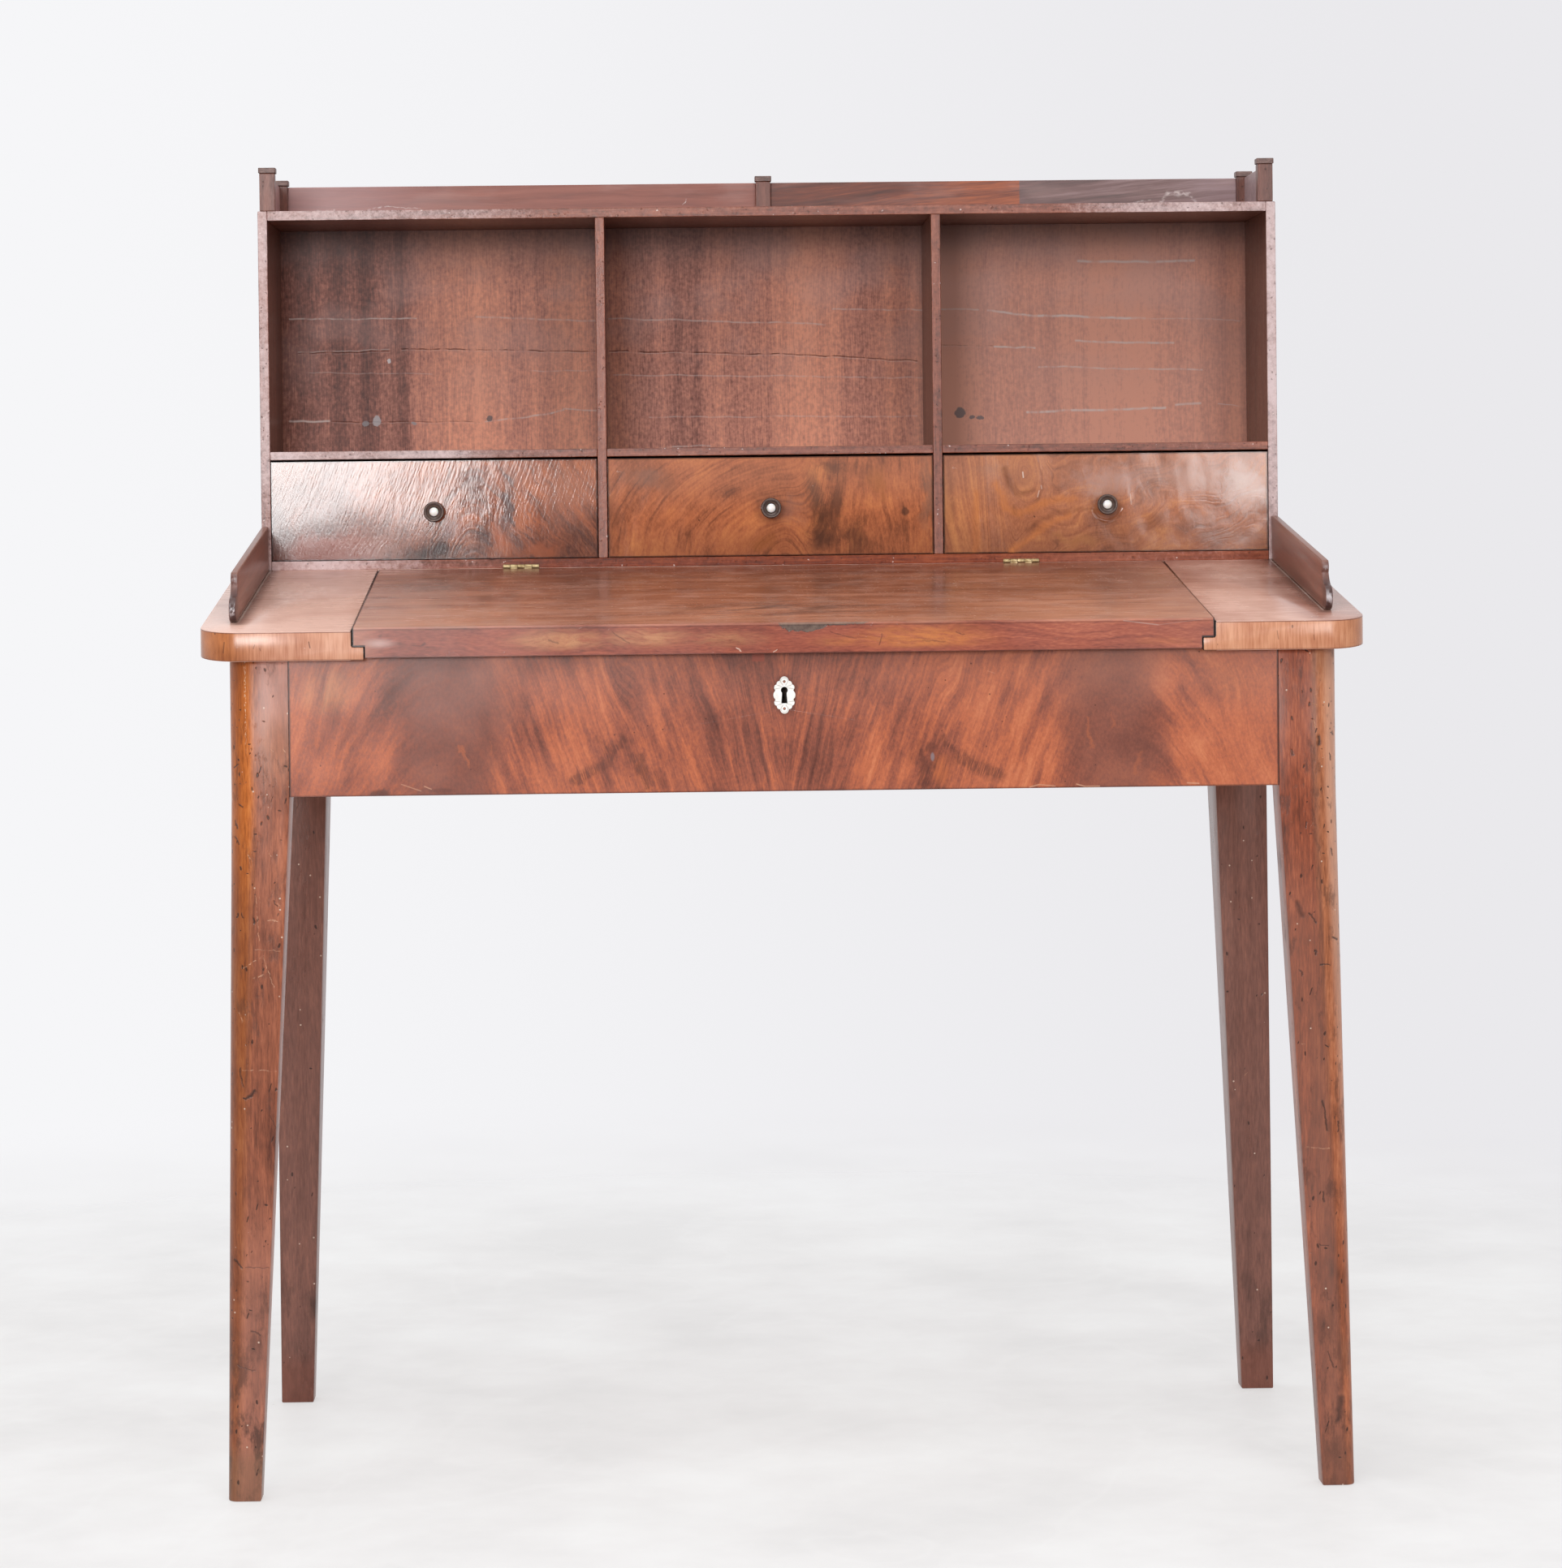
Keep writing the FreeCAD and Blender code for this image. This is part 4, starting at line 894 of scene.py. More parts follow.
legLooks = {
    "frontLeft": {
        "dark": (90, 46, 32), "middle": (152, 86, 60), "light": (196, 118, 84), "streak": 0.6, "cloud": 0.9,
        "lift": 0, "lower": 0, "deep": 0.48, "shadow": 0,
        "gold": [(106, 52, 20), (192, 106, 46), (232, 148, 76)], "line": 0, "sheenHaze": 0.6,
        "outermost": ((150, 76, 24), 0.45), "scuff": 0.4, "smoke": 0.8, "dents": 0.7, "foot": (120, 88, 66),
        "rough": 0.34,
        "cuts": [
            (-464, 541, -460.4, 488.9, 0.675, 0.9), (-474.9, 467.8, -457, 479.1, 0.9, 0.9),
            (-466.2, 458.8, -457.3, 462.2, 0.975, 1), (-457.9, 479.1, -448.6, 449.7, 0.6, 0.9),
            (-464.1, 483.6, -442, 482.4, 0.525, 0.7), (-454.9, 509.8, -444.3, 508.2, 1.05, 1),
            (-449.3, 659, -446.2, 656.3, 0.75, 1), (-437.8, 658.5, -436.1, 656.2, 0.675, 1),
            (-452.3, 570.1, -449.5, 565.1, 0.75, 0.9), (-469.1, 567.1, -467.4, 563.2, 0.675, 0.9),
            (-476.7, 379, -447.3, 376.7, 0.6, 0.9), (-479, 429, -476, 420, 0.975, 0.9),
            (-460, 530, -456, 512, 0.45, 0.6), (-440.6, 520.6, -444, 524, 0.675, 0.8)],
        "gashes": [
            (-476.5, 610.1, -473.5, 608.5, 1.6, 1), (-481.1, 596.5, -479, 590, 1.4, 0.9),
            (-481.4, 642.6, -478, 645, 1.3, 0.9), (-481.3, 582.3, -477.5, 576, 1.2, 0.8),
            (-465.1, 510.2, -464.5, 507, 1.8, 1), (-476, 515.7, -475, 512, 1.4, 0.9),
            (-473.1, 353.4, -466.3, 360, 2.4, 1), (-447.6, 526, -444, 521.5, 1, 0.8),
            (-479, 380, -477, 364, 1.4, 0.8), (-485.7, 212.4, -480.4, 205.6, 1.8, 0.9),
            (-453.2, 338.4, -447, 325, 0.9, 0.6), (-476.4, 205.5, -456.3, 205.2, 0.8, 0.6),
            (-485, 120, -470, 115, 0.8, 0.6), (-472, 150, -464, 146, 1, 0.7)],
    },
    "frontRight": {
        "dark": (76, 34, 20), "middle": (142, 68, 40), "light": (194, 106, 66), "streak": 0.8, "cloud": 0.95,
        "lift": 0.04, "lower": 0.14, "deep": 0.04, "shadow": 0.42,
        "gold": [(128, 72, 48), (186, 116, 80), (218, 156, 118)], "line": 0.3, "sheenHaze": 0,
        "outermost": ((224, 174, 148), 0.5), "scuff": 0.5, "smoke": 0.6, "dents": 0.5, "foot": (112, 70, 54),
        "rough": 0.34,
        "cuts": [
            (461.7, 688, 466.2, 687.1, 0.75, 1), (463.4, 672.9, 465.1, 667.5, 0.975, 0.9),
            (441.2, 585, 444, 584.5, 0.9, 0.8), (460, 579, 462, 583, 0.6, 0.7),
            (452, 298.1, 473.6, 297.2, 0.525, 0.8), (471.3, 351.8, 468.5, 350, 0.9, 0.8),
            (469, 705, 466, 695, 0.9, 0.5), (450, 390, 453, 389, 0.6, 0.6)],
        "gashes": [
            (467.7, 658.6, 467.6, 652.4, 2.8, 1), (443.5, 646.4, 445.3, 642.8, 2, 0.8),
            (478.3, 644.2, 479, 638, 1.1, 0.9), (481.1, 662, 481.6, 660, 1.8, 0.9),
            (456.4, 584, 455, 580, 1.6, 0.8), (478.4, 560.5, 479.5, 554, 1.4, 0.9),
            (447.7, 512.8, 452, 502, 4, 0.7), (458.3, 503.8, 464, 496, 1.4, 0.9),
            (479.6, 482.1, 483, 480, 1.6, 1), (467.8, 459.1, 475.8, 458.1, 1.1, 0.9),
            (463.4, 471.6, 463, 468, 1.8, 0.9), (449.9, 453.9, 451, 450, 1.6, 0.8),
            (468.5, 339.7, 472.4, 312.6, 1.4, 0.9), (479.6, 58.4, 482.5, 77.3, 5, 0.8),
            (481.9, 320.6, 482.2, 312, 1.2, 0.9), (464.7, 212.8, 472, 212, 1, 0.7),
            (467.8, 258.7, 469, 250, 1.4, 0.8), (470.7, 118, 476, 104, 1.2, 0.7)],
    },
    "rear": {
        "dark": (90, 58, 49), "middle": (124, 82, 71), "light": (156, 104, 87), "streak": 0.4, "cloud": 0.4,
        "lift": 0, "scuff": 0.1, "smoke": 0.5, "dents": 0.12, "foot": (126, 72, 56), "rough": 0.3,
        "cuts": [(-433, 392.5, -432.2, 391, 0.75, 1), (455, 300, 463, 310, 0.6, 0.5)],
        "gashes": [(-452, 96, -444, 84, 11, 0.55), (460, 110, 464, 90, 9, 0.4)],
    },
}
frontLegLeftWood = makeLegWood("frontLegLeftWood", legLooks["frontLeft"])
frontLegRightWood = makeLegWood("frontLegRightWood", legLooks["frontRight"])
rearLegWood = makeLegWood("rearLegWood", legLooks["rear"])


def makeCaseWood(name, grain, shine=waxed):
    # the boards of the upper case, with rubbed and pitted front edges
    x, y, z = newMaterial(name)
    along, across = {"x": (x, z), "z": (z, x)}[grain]
    broad = swing(along / 0.28, across / 0.01, y / 0.012, detail=4, rough=0.6, seed=2)
    fine = swing(along / 0.02, across / 0.0018, y / 0.003, detail=2, rough=0.6, seed=3)
    value = broad * 0.8 + fine * 0.5 + 0.5
    tint = Paint(value, (0.25, 74, 46, 38), (0.5, 112, 72, 60), (0.8, 144, 96, 80))
    rub = swing(x / 0.004, y / 0.01, z / 0.004, detail=4, rough=0.7, seed=6)
    long = swing(x / 0.08, y / 0.1, z / 0.08, seed=7)
    edge = y.ease(0.1162, 0.1152)
    redder = Paint(value + rub * 0.7, (0.25, 88, 48, 38), (0.5, 138, 78, 60), (0.8, 174, 106, 82))
    # pinkish grey at the outer uprights and towards the left: painted sheen, over rubbed wear
    if grain == "z":
        paintedSheen = abs(x).ease(0.47, 0.48, -0.3, 0.46) + x.ease(0.47, 0.48) * 0.2
    else:
        low = z.ease(0.826, 0.823)
        redder.coat(low * x.ease(-0.3, -0.2) * x.ease(0.2, 0.32, 1, 0.35), Paint(
            value + rub * 0.5, (0.25, 72, 28, 14), (0.5, 126, 54, 27), (0.8, 172, 86, 48)))
        top = z.ease(1.1, 1.14)
        leftward = x.ease(-0.36, -0.1, 0.55, 0) - low * x.ease(-0.4, -0.28) * 0.35
        rightward = x.ease(0.22, 0.42) * (top * 0.48 + 0.05)
        paintedSheen = leftward.high(rightward) - top * x.ease(-0.2, 0.1, 0.12, 0)
    pale = (rub + long * 0.8 + paintedSheen).ease(0.05, 0.95)
    if grain == "x":
        pale = pale * (1 - low * x.ease(-0.22, -0.14) * x.ease(0.2, 0.32, 0.9, 0))
    redder.coat(pale, 216, 194, 194)
    ragX, ragZ = bend(x, y, z, 0.003, 0.004, 9)
    pits = specks(ragX, y, ragZ, 0.0046, 0.001, 0.5, seed=8)
    redder.coat(pits * 0.5, 82, 54, 50)
    dust = specks(ragX, y, ragZ, 0.0062, 0.0008, 0.35, seed=18)
    redder.coat(dust * 0.7, 232, 216, 210)
    tint.coat(edge, redder)
    # the dividers' front edges are darker towards each arris
    if grain == "z":
        beside = abs(abs(x) - desk["divider"]).ease(0.0036, 0.0044) * abs(x).ease(0.31, 0.3)
        tint.coat(beside * edge * 0.35, 70, 44, 40)
    rough = rub * 0.2 + 0.34
    height = fine * 0.00003 + rub * edge * 0.0003 - pits * edge * 0.0003
    return surface(tint, rough, height, shine)


dress(makeCaseWood("caseWoodLevel", "x"), "case_top", "shelf_left", "shelf_middle", "shelf_right")
dress(makeCaseWood("bottomBoardWood", "x", bareWax), "case_bottom")
dress(
    makeCaseWood("caseWoodUpright", "z"), "case_side_left", "case_side_right", "divider_left", "divider_right")

dress(straightWood("sideApronWood", straightWoods["plainWood"], "y"), "apron_side_left", "apron_side_right")
dress(straightWood("backApronWood", straightWoods["plainWood"], "x"), "apron_back")


rails = {
    "gouge": [
        (-455, 1166, -425, 1168, 2, 1), (-395, 1168, -372, 1172, 1, 0.9), (-372, 1172, -340, 1169, 0.8, 0.7),
        (-80, 1171, -76, 1176, 0.6, 0.9), (395, 1167, 403, 1178, 3, 0.8), (403, 1178, 424, 1176, 4, 0.9),
        (350, 1166, 385, 1170, 1.2, 0.6), (424, 1176, 432, 1166, 3, 0.6)],
    "left": [(0.25, 110, 58, 48), (0.5, 146, 84, 70), (0.8, 168, 104, 88)],
    "right": [(0.3, 76, 36, 26), (0.5, 120, 60, 42), (0.72, 190, 102, 60)],
    "patch": [(0.3, 84, 64, 64), (0.5, 122, 92, 90), (0.75, 164, 138, 140)],
}


def makeRailWood():
    x, y, z = newMaterial("galleryRailWood")
    lean = swing(x / 0.2, y, z / 0.05, detail=2, seed=2)
    lines = z + lean * 0.02 - x * x.ease(0, 0.01) * 0.1
    broad = noise(x / 0.2, lines / 0.006, y / 0.01, detail=4, rough=0.6, seed=3)
    fine = noise(x / 0.02, lines / 0.0012, y / 0.002, detail=2, rough=0.6, seed=4)
    onRight, onPatch = x.ease(0, 0.001), x.ease(0.2545, 0.2555)
    value = broad * 0.7 + fine * 0.3 + onRight * x.ease(0.11, 0.22, -0.07, 0.1)
    value = value - onPatch * x.ease(0.27, 0.46, 0.15, 0.02)
    left = Paint(value, *rails["left"])
    right = Paint(value, *rails["right"])
    patch = Paint(value, *rails["patch"])
    tint = left.coat(onRight, right)
    tint.coat(onPatch, patch)
    # paler towards both ends: painted sheen
    tint.coat((x.ease(-0.28, -0.44) * 0.3).high(x.ease(0.4, 0.47) * 0.28), 206, 180, 186)
    # painted sheen in patches, fuller towards the top
    sheenHaze = noise(x / 0.08, y, z / 0.02, seed=9).ease(0.45, 0.7) * z.ease(1.165, 1.185, 0.3, 1)
    tint.coat(sheenHaze * 0.25, 190, 156, 150)
    kinkX, kinkZ = bend(x, y, z, 0.01, 0.006, 12)
    gouge = strokes(kinkX, kinkZ, rails["gouge"])
    torn = noise(x / 0.005, y, z / 0.003, detail=4, rough=0.65, seed=13).ease(0.38, 0.58)
    tint.coat(gouge * torn * 0.8, 216, 200, 198)
    rough = fine * 0.1 + 0.4
    height = fine * 0.00003 + sheenHaze * 0.0001
    return surface(tint, rough, height)


dress(makeRailWood(), "gallery_back_rails", "gallery_side_rails")
dress(straightWood("galleryPostWood", straightWoods["postWood"], "z"), "gallery_posts")


def makeCapWood():
    x, y, z = newMaterial("capWood")
    fine = noise(x / 0.008, y / 0.002, z / 0.0016, rough=0.6, seed=4)
    rub = noise(x / 0.004, y / 0.004, z / 0.004, rough=0.7, seed=6)
    tint = Paint(fine * 0.6 + rub * 0.5, (0.3, 70, 50, 46), (0.55, 112, 84, 78), (0.8, 156, 128, 120))
    return surface(tint, rub * 0.2 + 0.35, rub * 0.0002)


dress(makeCapWood(), "gallery_caps")


wingMiddle = 0.48375


def makeWingWood():
    x, y, z = newMaterial("sideGalleryWood")
    rim = levelled(y, z) - desk["topHeight"]
    broad = noise(y / 0.18, rim / 0.008, x / 0.01, detail=4, rough=0.6, seed=3)
    fine = noise(y / 0.02, rim / 0.0012, x / 0.0012, detail=2, rough=0.6, seed=4)
    value = broad * 0.65 + fine * 0.35
    tint = Paint(value, (0.25, 94, 61, 54), (0.5, 136, 90, 78), (0.8, 168, 118, 102))
    end = y.ease(-0.205, -0.224)
    tint.coat(end * 0.55, 64, 48, 50)
    sheen = noise(x / 0.003, y / 0.01, rim / 0.006, seed=9).ease(0.42, 0.56)
    sheen = sheen * rim.hump(0.012, 0.0085).high(rim.hump(0.0345, 0.006))
    face = abs(abs(x) - wingMiddle).ease(0.003, 0.0022) * end
    tint.coat(face * 0.6, 58, 44, 46)
    tint.coat(face * sheen * 0.85, 214, 206, 210)
    top = rim.ease(0.0395, 0.0415)
    tint.coat(top * 0.5, 150, 110, 98)
    foot = rim.ease(0.003, 0)
    tint.coat(foot * 0.6, 176, 150, 138)
    return surface(tint, fine * 0.15 + 0.26, fine * 0.00003 + broad * 0.0002)


wingWood = makeWingWood()


def makePine():
    x, y, z = newMaterial("pineInside")
    broad = noise(x / 0.02, y / 0.35, z / 0.012, detail=4, rough=0.6, twist=0.3)
    fine = noise(x / 0.0016, y / 0.03, z / 0.0016, detail=2, rough=0.6, seed=4)
    cloud = noise(x / 0.08, y / 0.08, z / 0.05, seed=6)
    value = broad * 0.6 + fine * 0.25 + cloud * 0.3 - 0.08
    tint = Paint(value, (0.25, 136, 94, 64), (0.5, 178, 131, 94), (0.8, 206, 162, 124))
    stain = cloud.ease(0.55, 0.75)
    tint.coat(stain * 0.35, 104, 76, 54)
    return surface(tint, fine * 0.1 + 0.62, fine * 0.00004, {"Specular IOR Level": 0.3})


pine = makePine()
dress(pine, "well_floor", "well_cleats", "drawer_stops")
for side in ("left", "middle", "right"):
    dress(pine, *[f"drawer_{side}_{part}" for part in ("sides", "back", "floor")])
print("carcase, aprons, galleries and insides finished")


# Metal.

def makeMetal(name, tint, grime, rough, scale=0.004):
    x, y, z = newMaterial(name)
    cloud = noise(x / scale, y / scale, z / scale, detail=4, rough=0.65)
    hair = noise(x / 0.006, y / 0.0004, z / 0.0004, detail=2, seed=3)
    paint = Paint(cloud.ease(0.42, 0.68), (0, *tint), (1, *grime))
    return surface(paint, cloud * 0.3 + rough, cloud * 0.00004 + hair * 0.00001, {"Metallic": 1})


brass = makeMetal("agedBrass", (204, 184, 142), (166, 142, 102), 0.38)
screwBrass = makeMetal("screwBrass", (190, 166, 118), (116, 92, 62), 0.3, 0.002)
iron = makeMetal("lockIron", (62, 55, 50), (40, 28, 22), 0.45)
copper = makeMetal("pinCopper", (176, 128, 108), (104, 70, 58), 0.34, 0.001)
dress(brass, "hinge_leaves_fixed", "hinge_leaves_lid", "hinge_pins", "lock_strike")
dress(screwBrass, "hinge_screws_fixed", "hinge_screws_lid")
dress(iron, "lock_case", "lock_bolt")
soften(0.00015, "hinge_leaves_fixed", "hinge_leaves_lid", "lock_strike")
soften(0.0003, "lock_case", "lock_bolt")


# Shapes with worn, softened arrises.

def newPiece(name, bm):
    piece = bpy.data.objects.new(name, bpy.data.meshes.new(name))
    bpy.context.scene.collection.objects.link(piece)
    bm.to_mesh(piece.data)
    bm.free()
    return piece


def mergedCopy(name, width, segments):
    # the node's own shape in clean faces, its arrises rounded
    sharp = math.radians(35)
    bm = bmesh.new()
    bm.from_mesh(nodes[name].data)
    bmesh.ops.remove_doubles(bm, verts=bm.verts, dist=0.00001)
    bmesh.ops.dissolve_limit(bm, angle_limit=math.radians(0.5), verts=bm.verts, edges=bm.edges)
    hard = [e for e in bm.edges if len(e.link_faces) == 2 and e.calc_face_angle() > sharp]
    bmesh.ops.bevel(
        bm, geom=hard, offset=width, offset_type="OFFSET", segments=segments, profile=0.5, affect="EDGES",
        clamp_overlap=True, material=-1)
    for face in bm.faces:
        face.smooth = True
    for edge in bm.edges:
        edge.smooth = len(edge.link_faces) != 2 or edge.calc_face_angle() < sharp
    return newPiece(name + "_worn", bm)


def stand(piece, material, body, slot, *names):
    piece.data.materials.append(material)
    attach(piece, body)
    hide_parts(*names)


wornPieces = [
    (frontLegLeftWood, "leg_wood", 0.0012, 2, "leg_front_left"),
    (frontLegRightWood, "leg_wood", 0.0012, 2, "leg_front_right"),
    (rearLegWood, "leg_wood", 0.0012, 2, "leg_rear_left", "leg_rear_right"),
    (topBoardWood, "top_wood", 0.0008, 2, "top_board_left", "top_board_right"),
    (wingWood, "case_wood", 0.0014, 3, "wing_left", "wing_right")]
for material, slot, width, segments, *names in wornPieces:
    for name in names:
        stand(mergedCopy(name, width, segments), material, "desk", slot, name)
soften(
    0.0008, "case_top", "case_side_left", "case_side_right", "shelf_left", "shelf_middle", "shelf_right",
    "divider_left", "divider_right", "case_bottom", "gallery_back_rails", "gallery_side_rails", "gallery_posts")
soften(
    0.0006, "apron_front", "apron_side_left", "apron_side_right", "apron_back", "drawer_left_front",
    "drawer_middle_front", "drawer_right_front", "top_board_rear")
soften(0.0007, "writing_lid")
soften(0.001, "gallery_caps")
print("arrises softened")


# Turned knobs with a bone dot.

knobProfile = [
    (0.0035, 0.123), (0.0035, 0.115), (0.007, 0.115), (0.0062, 0.1125), (0.0054, 0.1095), (0.0056, 0.107),
    (0.0074, 0.1046), (0.0092, 0.1024), (0.00985, 0.1), (0.0098, 0.0976), (0.0094, 0.0964), (0.0089, 0.09605),
    (0.008, 0.0962), (0.0075, 0.0968), (0.007, 0.0976), (0.0062, 0.098), (0.0053, 0.09845), (0.0045, 0.099),
    (0.0042, 0.0992)]


def makeHorn():
    x, y, z = newMaterial("darkHorn")
    cloud = noise(x / 0.004, y / 0.006, z / 0.003, detail=4, rough=0.6)
    dx = x - (x / desk["drawerStep"]).calc("ROUND") * desk["drawerStep"]
    away = far(dx, z - desk["knobHeight"])
    tint = Paint(cloud, (0.3, 74, 56, 50), (0.55, 98, 78, 70), (0.8, 130, 108, 98))
    shade = away.ease(0.0088, 0.0096).high(away.hump(0.0071, 0.001) * 0.7).high(away.ease(0.0056, 0.0044) * 0.8)
    tint.coat(shade, 40, 28, 26)
    return surface(tint, cloud * 0.15 + 0.26, cloud * 0.00003)


def makeBone():
    x, y, z = newMaterial("polishedBone")
    cloud = noise(x / 0.003, y / 0.003, z / 0.006, detail=4, rough=0.6)
    tint = Paint(cloud, (0.25, 240, 238, 232), (0.5, 251, 250, 247), (0.8, 253, 253, 252))
    return surface(tint, cloud * 0.1 + 0.24, cloud * 0.00002, {
        "Subsurface Weight": 0.15, "Subsurface Scale": 0.001, "Coat Weight": 0.3, "Coat Roughness": 0.15})


horn = makeHorn()
bone = makeBone()


def turned(name, profile, x, z, steps=48):
    # a profile of radius and depth, spun about a line through x and z that runs front to back
    bm = bmesh.new()
    verts = [bm.verts.new((x + r, y, z)) for r, y in profile]
    edges = [bm.edges.new(pair) for pair in zip(verts, verts[1:])]
    bmesh.ops.spin(
        bm, geom=verts + edges, cent=(x, 0, z), axis=(0, 1, 0), angle=2 * math.pi, steps=steps, use_merge=True,
        use_duplicate=False)
    bmesh.ops.remove_doubles(bm, verts=bm.verts, dist=0.000005)
    rims = [e for e in bm.edges if e.is_boundary]
    if rims:
        bmesh.ops.holes_fill(bm, edges=rims, sides=0)
    bmesh.ops.recalc_face_normals(bm, faces=bm.faces)
    for face in bm.faces:
        face.smooth = len(face.verts) <= 4
    return newPiece(name, bm)


dotProfile = [
    (0, 0.09655), (0.0018, 0.09665), (0.0032, 0.097), (0.004, 0.0977), (0.0043, 0.0985), (0.0043, 0.0996),
    (0, 0.0996)]
for side, centre in drawerCentres.items():
    knob = turned("knob_" + side, knobProfile, centre, desk["knobHeight"])
    rounding = knob.modifiers.new("rounding", "SUBSURF")
    rounding.levels = rounding.render_levels = 1
    stand(knob, horn, "drawer_" + side, "horn", f"drawer_{side}_knob")
    dot = turned("knob_dot_" + side, dotProfile, centre, desk["knobHeight"])
    stand(dot, bone, "drawer_" + side, "bone", f"drawer_{side}_knob_dot")
print("knobs turned")


# Bone escutcheon: an oval plate with a scalloped head and tail.
plateLook = {
    "centre": 0.70066, "face": -0.2735, "thickness": 0.0016, "oval": (0.0078, 0.0122),
    "lobes": [
        (0, 0.0125, 0.0038), (0.0042, 0.0098, 0.0026), (0.0062, 0.0066, 0.0028), (0.005, 0, 0.0047),
        (0.0022, 0, 0.007)],
    "keyHole": (0.0042, 0.00295), "keySlot": (0.002, 0.00265, -0.00715), "pins": 0.0118, "pinHead": 0.00125,
    "grooves": [(1.8, 7.2, 6.6, 9, 0.35, 1), (2.6, 6.2, 9.2, 5.2, 0.32, 0.9), (1.2, 8.4, 3.4, 11.8, 0.32, 0.9)],
}


def reach(dx, dz, cx, cz, radius):
    # how far a ray from the middle runs before it leaves a circle, or 0 where it misses
    across = cx * dz - cz * dx
    inside = radius * radius - across * across
    return cx * dx + cz * dz + math.sqrt(inside) if inside > 0 else 0


def plateEdge(angle):
    dx, dz = math.cos(angle), math.sin(angle)
    wide, tall = plateLook["oval"]
    far = 1 / math.hypot(dx / wide, dz / tall)
    for cx, cz, radius in plateLook["lobes"]:
        for sx in (-1, 1):
            for sz in (-1, 1):
                far = max(far, reach(dx, dz, cx * sx, cz * sz, radius))
    return dx * far, dz * far


def keyEdge(angle):
    dx, dz = math.cos(angle), math.sin(angle)
    rise, radius = plateLook["keyHole"]
    neck, foot, low = plateLook["keySlot"]
    far = max(reach(dx, dz, 0, rise, radius), min(neck / abs(dx) if dx else 1, rise / dz if dz > 0 else 1))
    if dz < 0:
        # the slot widens a little towards its foot
        share = 0
        for _ in range(4):
            half = neck + (foot - neck) * share
            run = min(half / abs(dx) if dx else 1, low / dz)
            share = min(1, run * dz / low)
        far = run
    return dx * far, dz * far


def makeEscutcheon():
    look = plateLook
    bm = bmesh.new()
    rings = []
    for edgeAt in (plateEdge, keyEdge):
        made = bmesh.ops.create_circle(bm, segments=144, radius=1)
        for vert in made["verts"]:
            x, z = edgeAt(math.atan2(vert.co.y, vert.co.x))
            vert.co = (x, look["face"], look["centre"] + z)
        rings += list({e for v in made["verts"] for e in v.link_edges})
    bmesh.ops.bridge_loops(bm, edges=rings)
    bmesh.ops.recalc_face_normals(bm, faces=bm.faces)
    front = bmesh.ops.extrude_face_region(bm, geom=list(bm.faces))
    raised = [g for g in front["geom"] if isinstance(g, bmesh.types.BMVert)]
    bmesh.ops.translate(bm, verts=raised, vec=(0, -look["thickness"], 0))
    bmesh.ops.recalc_face_normals(bm, faces=bm.faces)
    rim = [
        e for e in bm.edges if len(e.link_faces) == 2 and e.calc_face_angle() > math.radians(60) and all(
            v.co.y < look["face"] - 0.001 for v in e.verts)]
    bmesh.ops.bevel(
        bm, geom=rim, offset=0.0005, segments=3, profile=0.5, affect="EDGES", clamp_overlap=True, material=-1)
    for face in bm.faces:
        face.smooth = abs(face.normal.y) < 0.98
    return newPiece("escutcheon_plate", bm)


def makePlateBone():
    x, y, z = newMaterial("engravedBone")
    up = z - plateLook["centre"]
    cloud = noise(x / 0.003, y / 0.003, z / 0.006, detail=4, rough=0.6)
    tint = Paint(cloud, (0.25, 238, 234, 226), (0.5, 250, 248, 243), (0.8, 252, 251, 249))
    side, tall = abs(x), abs(up)
    grooves = strokes(side, tall, plateLook["grooves"])
    bowl = far(x, tall - 0.0122).hump(0.003, 0.0004) * tall.ease(0.0085, 0.01)
    grooves = grooves.high(bowl * 0.8)
    tint.coat(grooves * 0.65, 150, 132, 112)
    rimShade = far(x / 0.0097, up / 0.0163).ease(0.93, 1.02) * 0.25
    tint.coat(rimShade, 176, 160, 132)
    return surface(tint, cloud * 0.1 + 0.22, cloud * 0.00002 - grooves * 0.00025)


stand(makeEscutcheon(), makePlateBone(), "desk", "bone", "escutcheon")
pinFace = plateLook["face"] - plateLook["thickness"]
pinProfile = [
    (0, pinFace - 0.00045), (0.0006, pinFace - 0.0004), (0.001, pinFace - 0.00025),
    (plateLook["pinHead"], pinFace), (0.0007, pinFace + 0.0002), (0.0007, pinFace + 0.008),
    (0, pinFace + 0.0086)]
for end, side in (("head", 1), ("tail", -1)):
    pin = turned("escutcheon_pin_" + end, pinProfile, 0, plateLook["centre"] + side * plateLook["pins"], 24)
    stand(pin, copper, "desk", "pin_copper", "escutcheon_pins")
print("escutcheon cut")


# Floor, light and camera.

studio = {"wallLeft": (246, 246, 248), "wallRight": (234, 233, 236), "floorReach": 2.6}


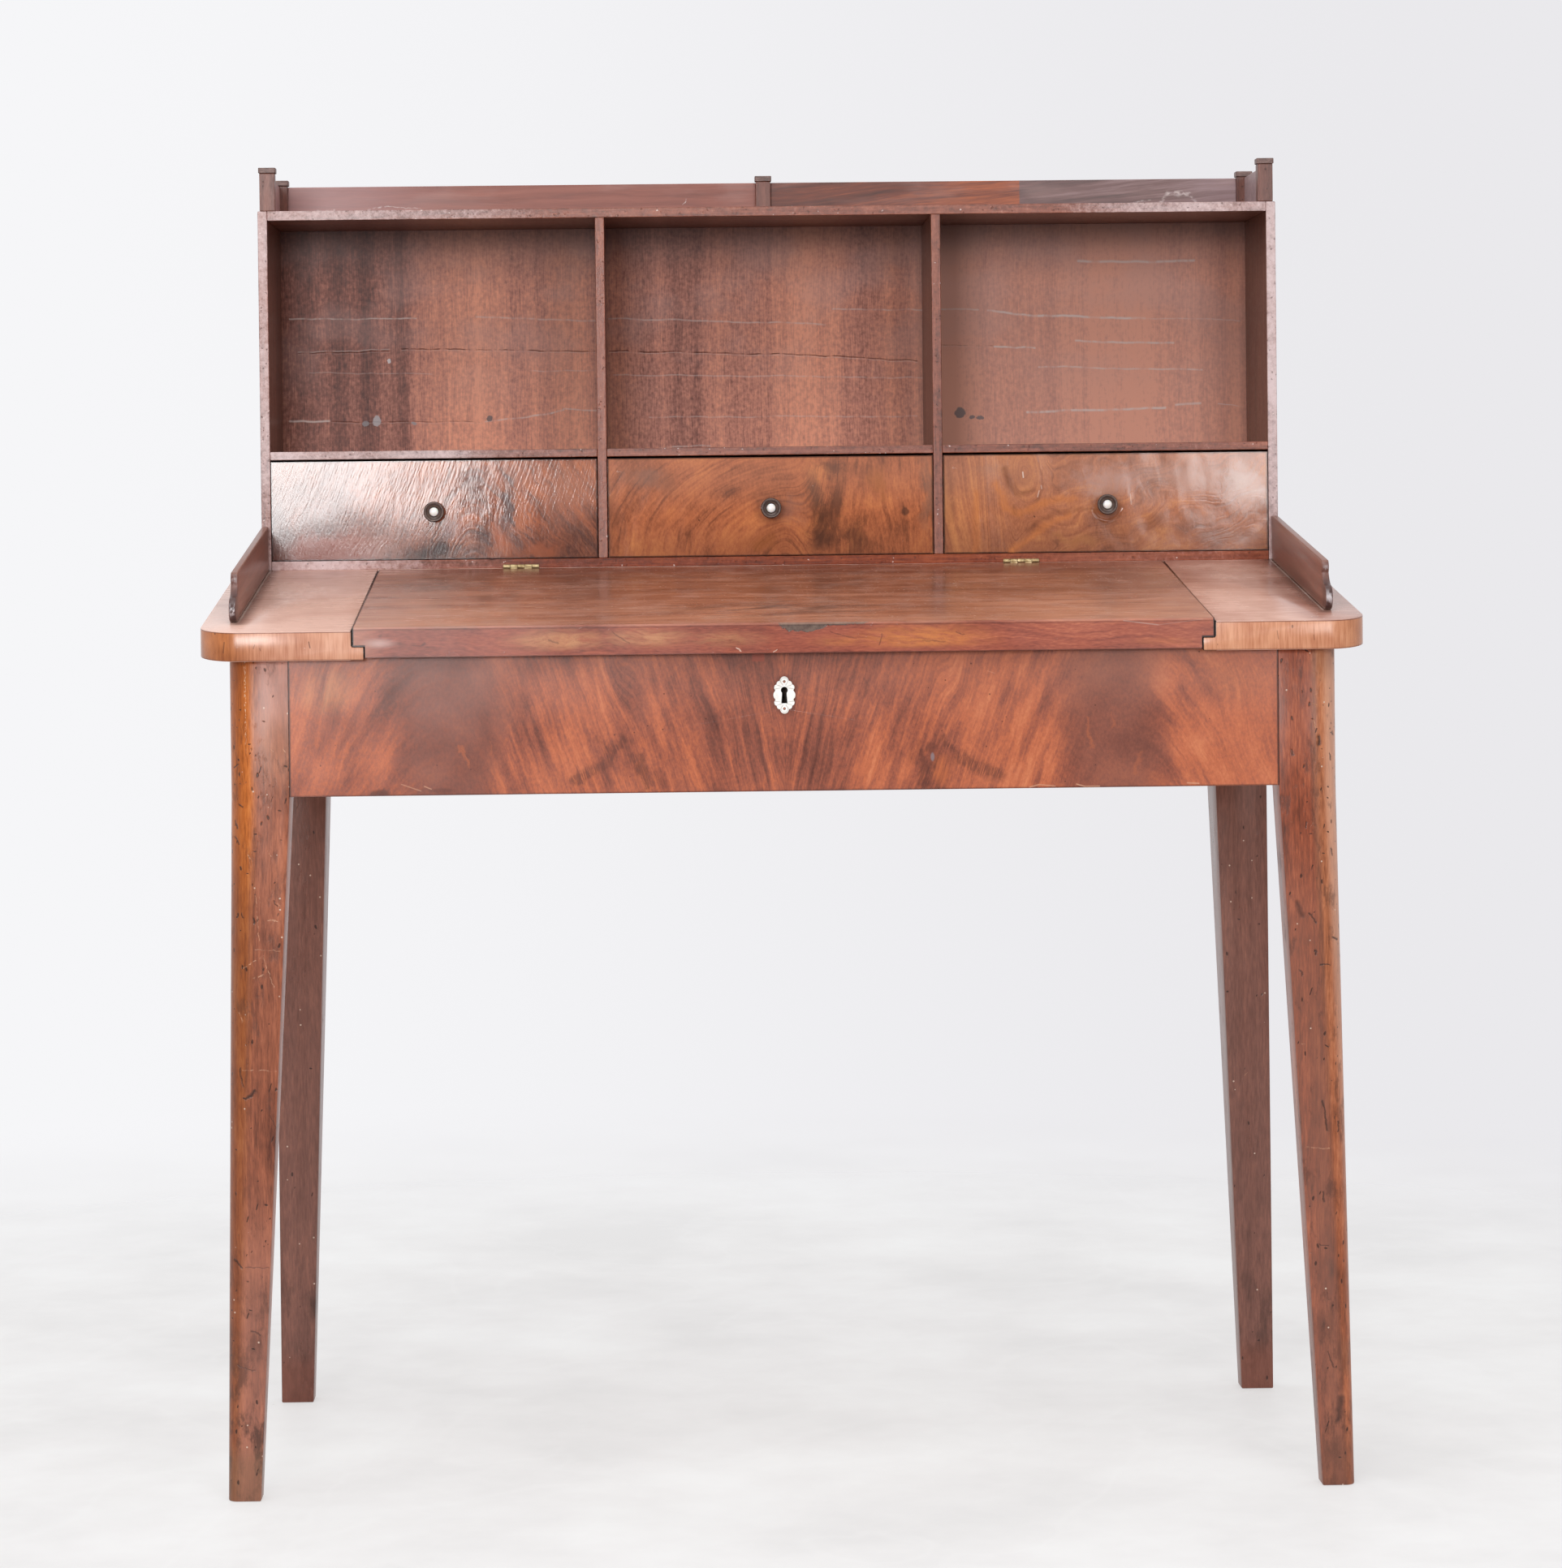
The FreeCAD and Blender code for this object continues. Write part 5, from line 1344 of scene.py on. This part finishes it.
def makeFloor():
    bm = bmesh.new()
    bmesh.ops.create_circle(bm, cap_ends=True, segments=96, radius=studio["floorReach"] * 1.4)
    floor = newPiece("floor", bm)
    x, y, z = newMaterial("studioFloor")
    material = x.owner
    scuff = noise(x / 0.3, y / 0.35, z, detail=6, rough=0.6, seed=3)
    veins = abs(swing(x / 0.25, y / 0.4, z, seed=6, twist=0.6)).ease(0.03, 0)
    tint = Paint(scuff, (0.36, 235, 234, 234), (0.5, 241, 240, 240), (0.68, 247, 247, 247))
    tint.coat(veins * 0.12, 250, 250, 250)
    tint.coat(specks(x, y, z, 0.16, 0.0035, 0.4, seed=5) * 0.4, 150, 146, 142)
    fade = far(x, y).ease(0.9, studio["floorReach"])
    rays = addNode(material, "LightPath").outputs
    feeds = {"Base Color": tint, "Roughness": 0.5, "Specular IOR Level": 0.3}
    matt = addNode(material, "BsdfPrincipled", feeds).outputs[0]
    pale = addNode(material, "Emission", {"Color": tint, "Strength": 1}).outputs[0]
    direct = [Field(material, rays[f"Is {kind} Ray"]) for kind in ("Camera", "Glossy", "Transmission")]
    lit = addNode(material, "MixShader", {0: highest(direct) * 0.6, 1: matt, 2: pale}).outputs[0]
    clear = addNode(material, "BsdfTransparent").outputs[0]
    both = addNode(material, "MixShader", {0: fade, 1: lit, 2: clear}).outputs[0]
    addNode(material, "OutputMaterial", {"Surface": both})
    floor.data.materials.append(material)


def makeWorld():
    # a pale wall to the eye, and for light a bright room with a darker end behind the camera
    world = bpy.data.worlds.new("studio")
    bpy.context.scene.world = world
    world.use_nodes = True
    world.node_tree.nodes.clear()
    aimX, aimY, aimZ = split(world, addNode(world, "TexCoord").outputs["Generated"])
    rays = addNode(world, "LightPath").outputs
    seen = Field(world, rays["Is Camera Ray"]).high(rays["Is Transmission Ray"])
    # gloss shows the wall too, except where it looks back into the room's darker end
    seen = seen.high(Field(world, rays["Is Glossy Ray"]) * aimY.ease(-0.05, 0.3))
    level = aimY.ease(-0.8, 0.3, 0.16, 0.85) + aimZ.ease(0.1, 0.9) * 0.15
    light = addNode(world, "Background", {"Color": (1, 1, 1, 1), "Strength": level}).outputs[0]
    tone = Paint(aimX.ease(-0.14, 0.18), (0, *studio["wallLeft"]), (1, *studio["wallRight"]))
    wall = addNode(world, "Background", {"Color": tone, "Strength": 1}).outputs[0]
    both = addNode(world, "MixShader", {0: seen, 1: light, 2: wall}).outputs[0]
    addNode(world, "OutputWorld", {"Surface": both})


lamps = {
    "keyLeft": dict(at=(-0.96, -4.1, 1.342), aim=(-0.96, 0, 1.342), size=(0.96, 0.936), power=65),
    "fillRight": dict(at=(1.42, -4, 1.4), aim=(1.42, 0, 1.4), size=(1.1, 1.02), power=34),
    "overhead": dict(at=(-0.3, -1.5, 3.2), aim=(0, 0, 0.4), size=(2.4, 1.8), power=34),
}


def makeLamps():
    for name, look in lamps.items():
        data = bpy.data.lights.new(name, "AREA")
        data.shape = "RECTANGLE"
        data.size, data.size_y = look["size"]
        data.energy = look["power"]
        lamp = bpy.data.objects.new(name, data)
        bpy.context.scene.collection.objects.link(lamp)
        lamp.location = look["at"]
        lamp.rotation_euler = (Vector(look["aim"]) - Vector(look["at"])).to_track_quat("-Z", "Y").to_euler()
        lamp.visible_camera = False


view = {
    "at": (-0.1133, -4.2468, 0.8313), "turn": -1.06, "tilt": -1.2, "roll": -0.647, "lens": 104.5,
    "shift": (0.0273, -0.091),
}


def makeCamera():
    data = bpy.data.cameras.new("camera")
    data.sensor_fit = "AUTO"
    data.sensor_width = 36
    data.lens = view["lens"]
    data.shift_x, data.shift_y = view["shift"]
    camera = bpy.data.objects.new("camera", data)
    bpy.context.scene.collection.objects.link(camera)
    turn = Matrix.Rotation(math.radians(view["turn"]), 4, "Z")
    tilt = Matrix.Rotation(math.radians(90 + view["tilt"]), 4, "X")
    roll = Matrix.Rotation(math.radians(view["roll"]), 4, "Z")
    camera.matrix_world = Matrix.Translation(view["at"]) @ turn @ tilt @ roll
    bpy.context.scene.camera = camera


makeFloor()
makeWorld()
makeLamps()
makeCamera()
bpy.context.scene.view_settings.view_transform = "Standard"
print("studio set")
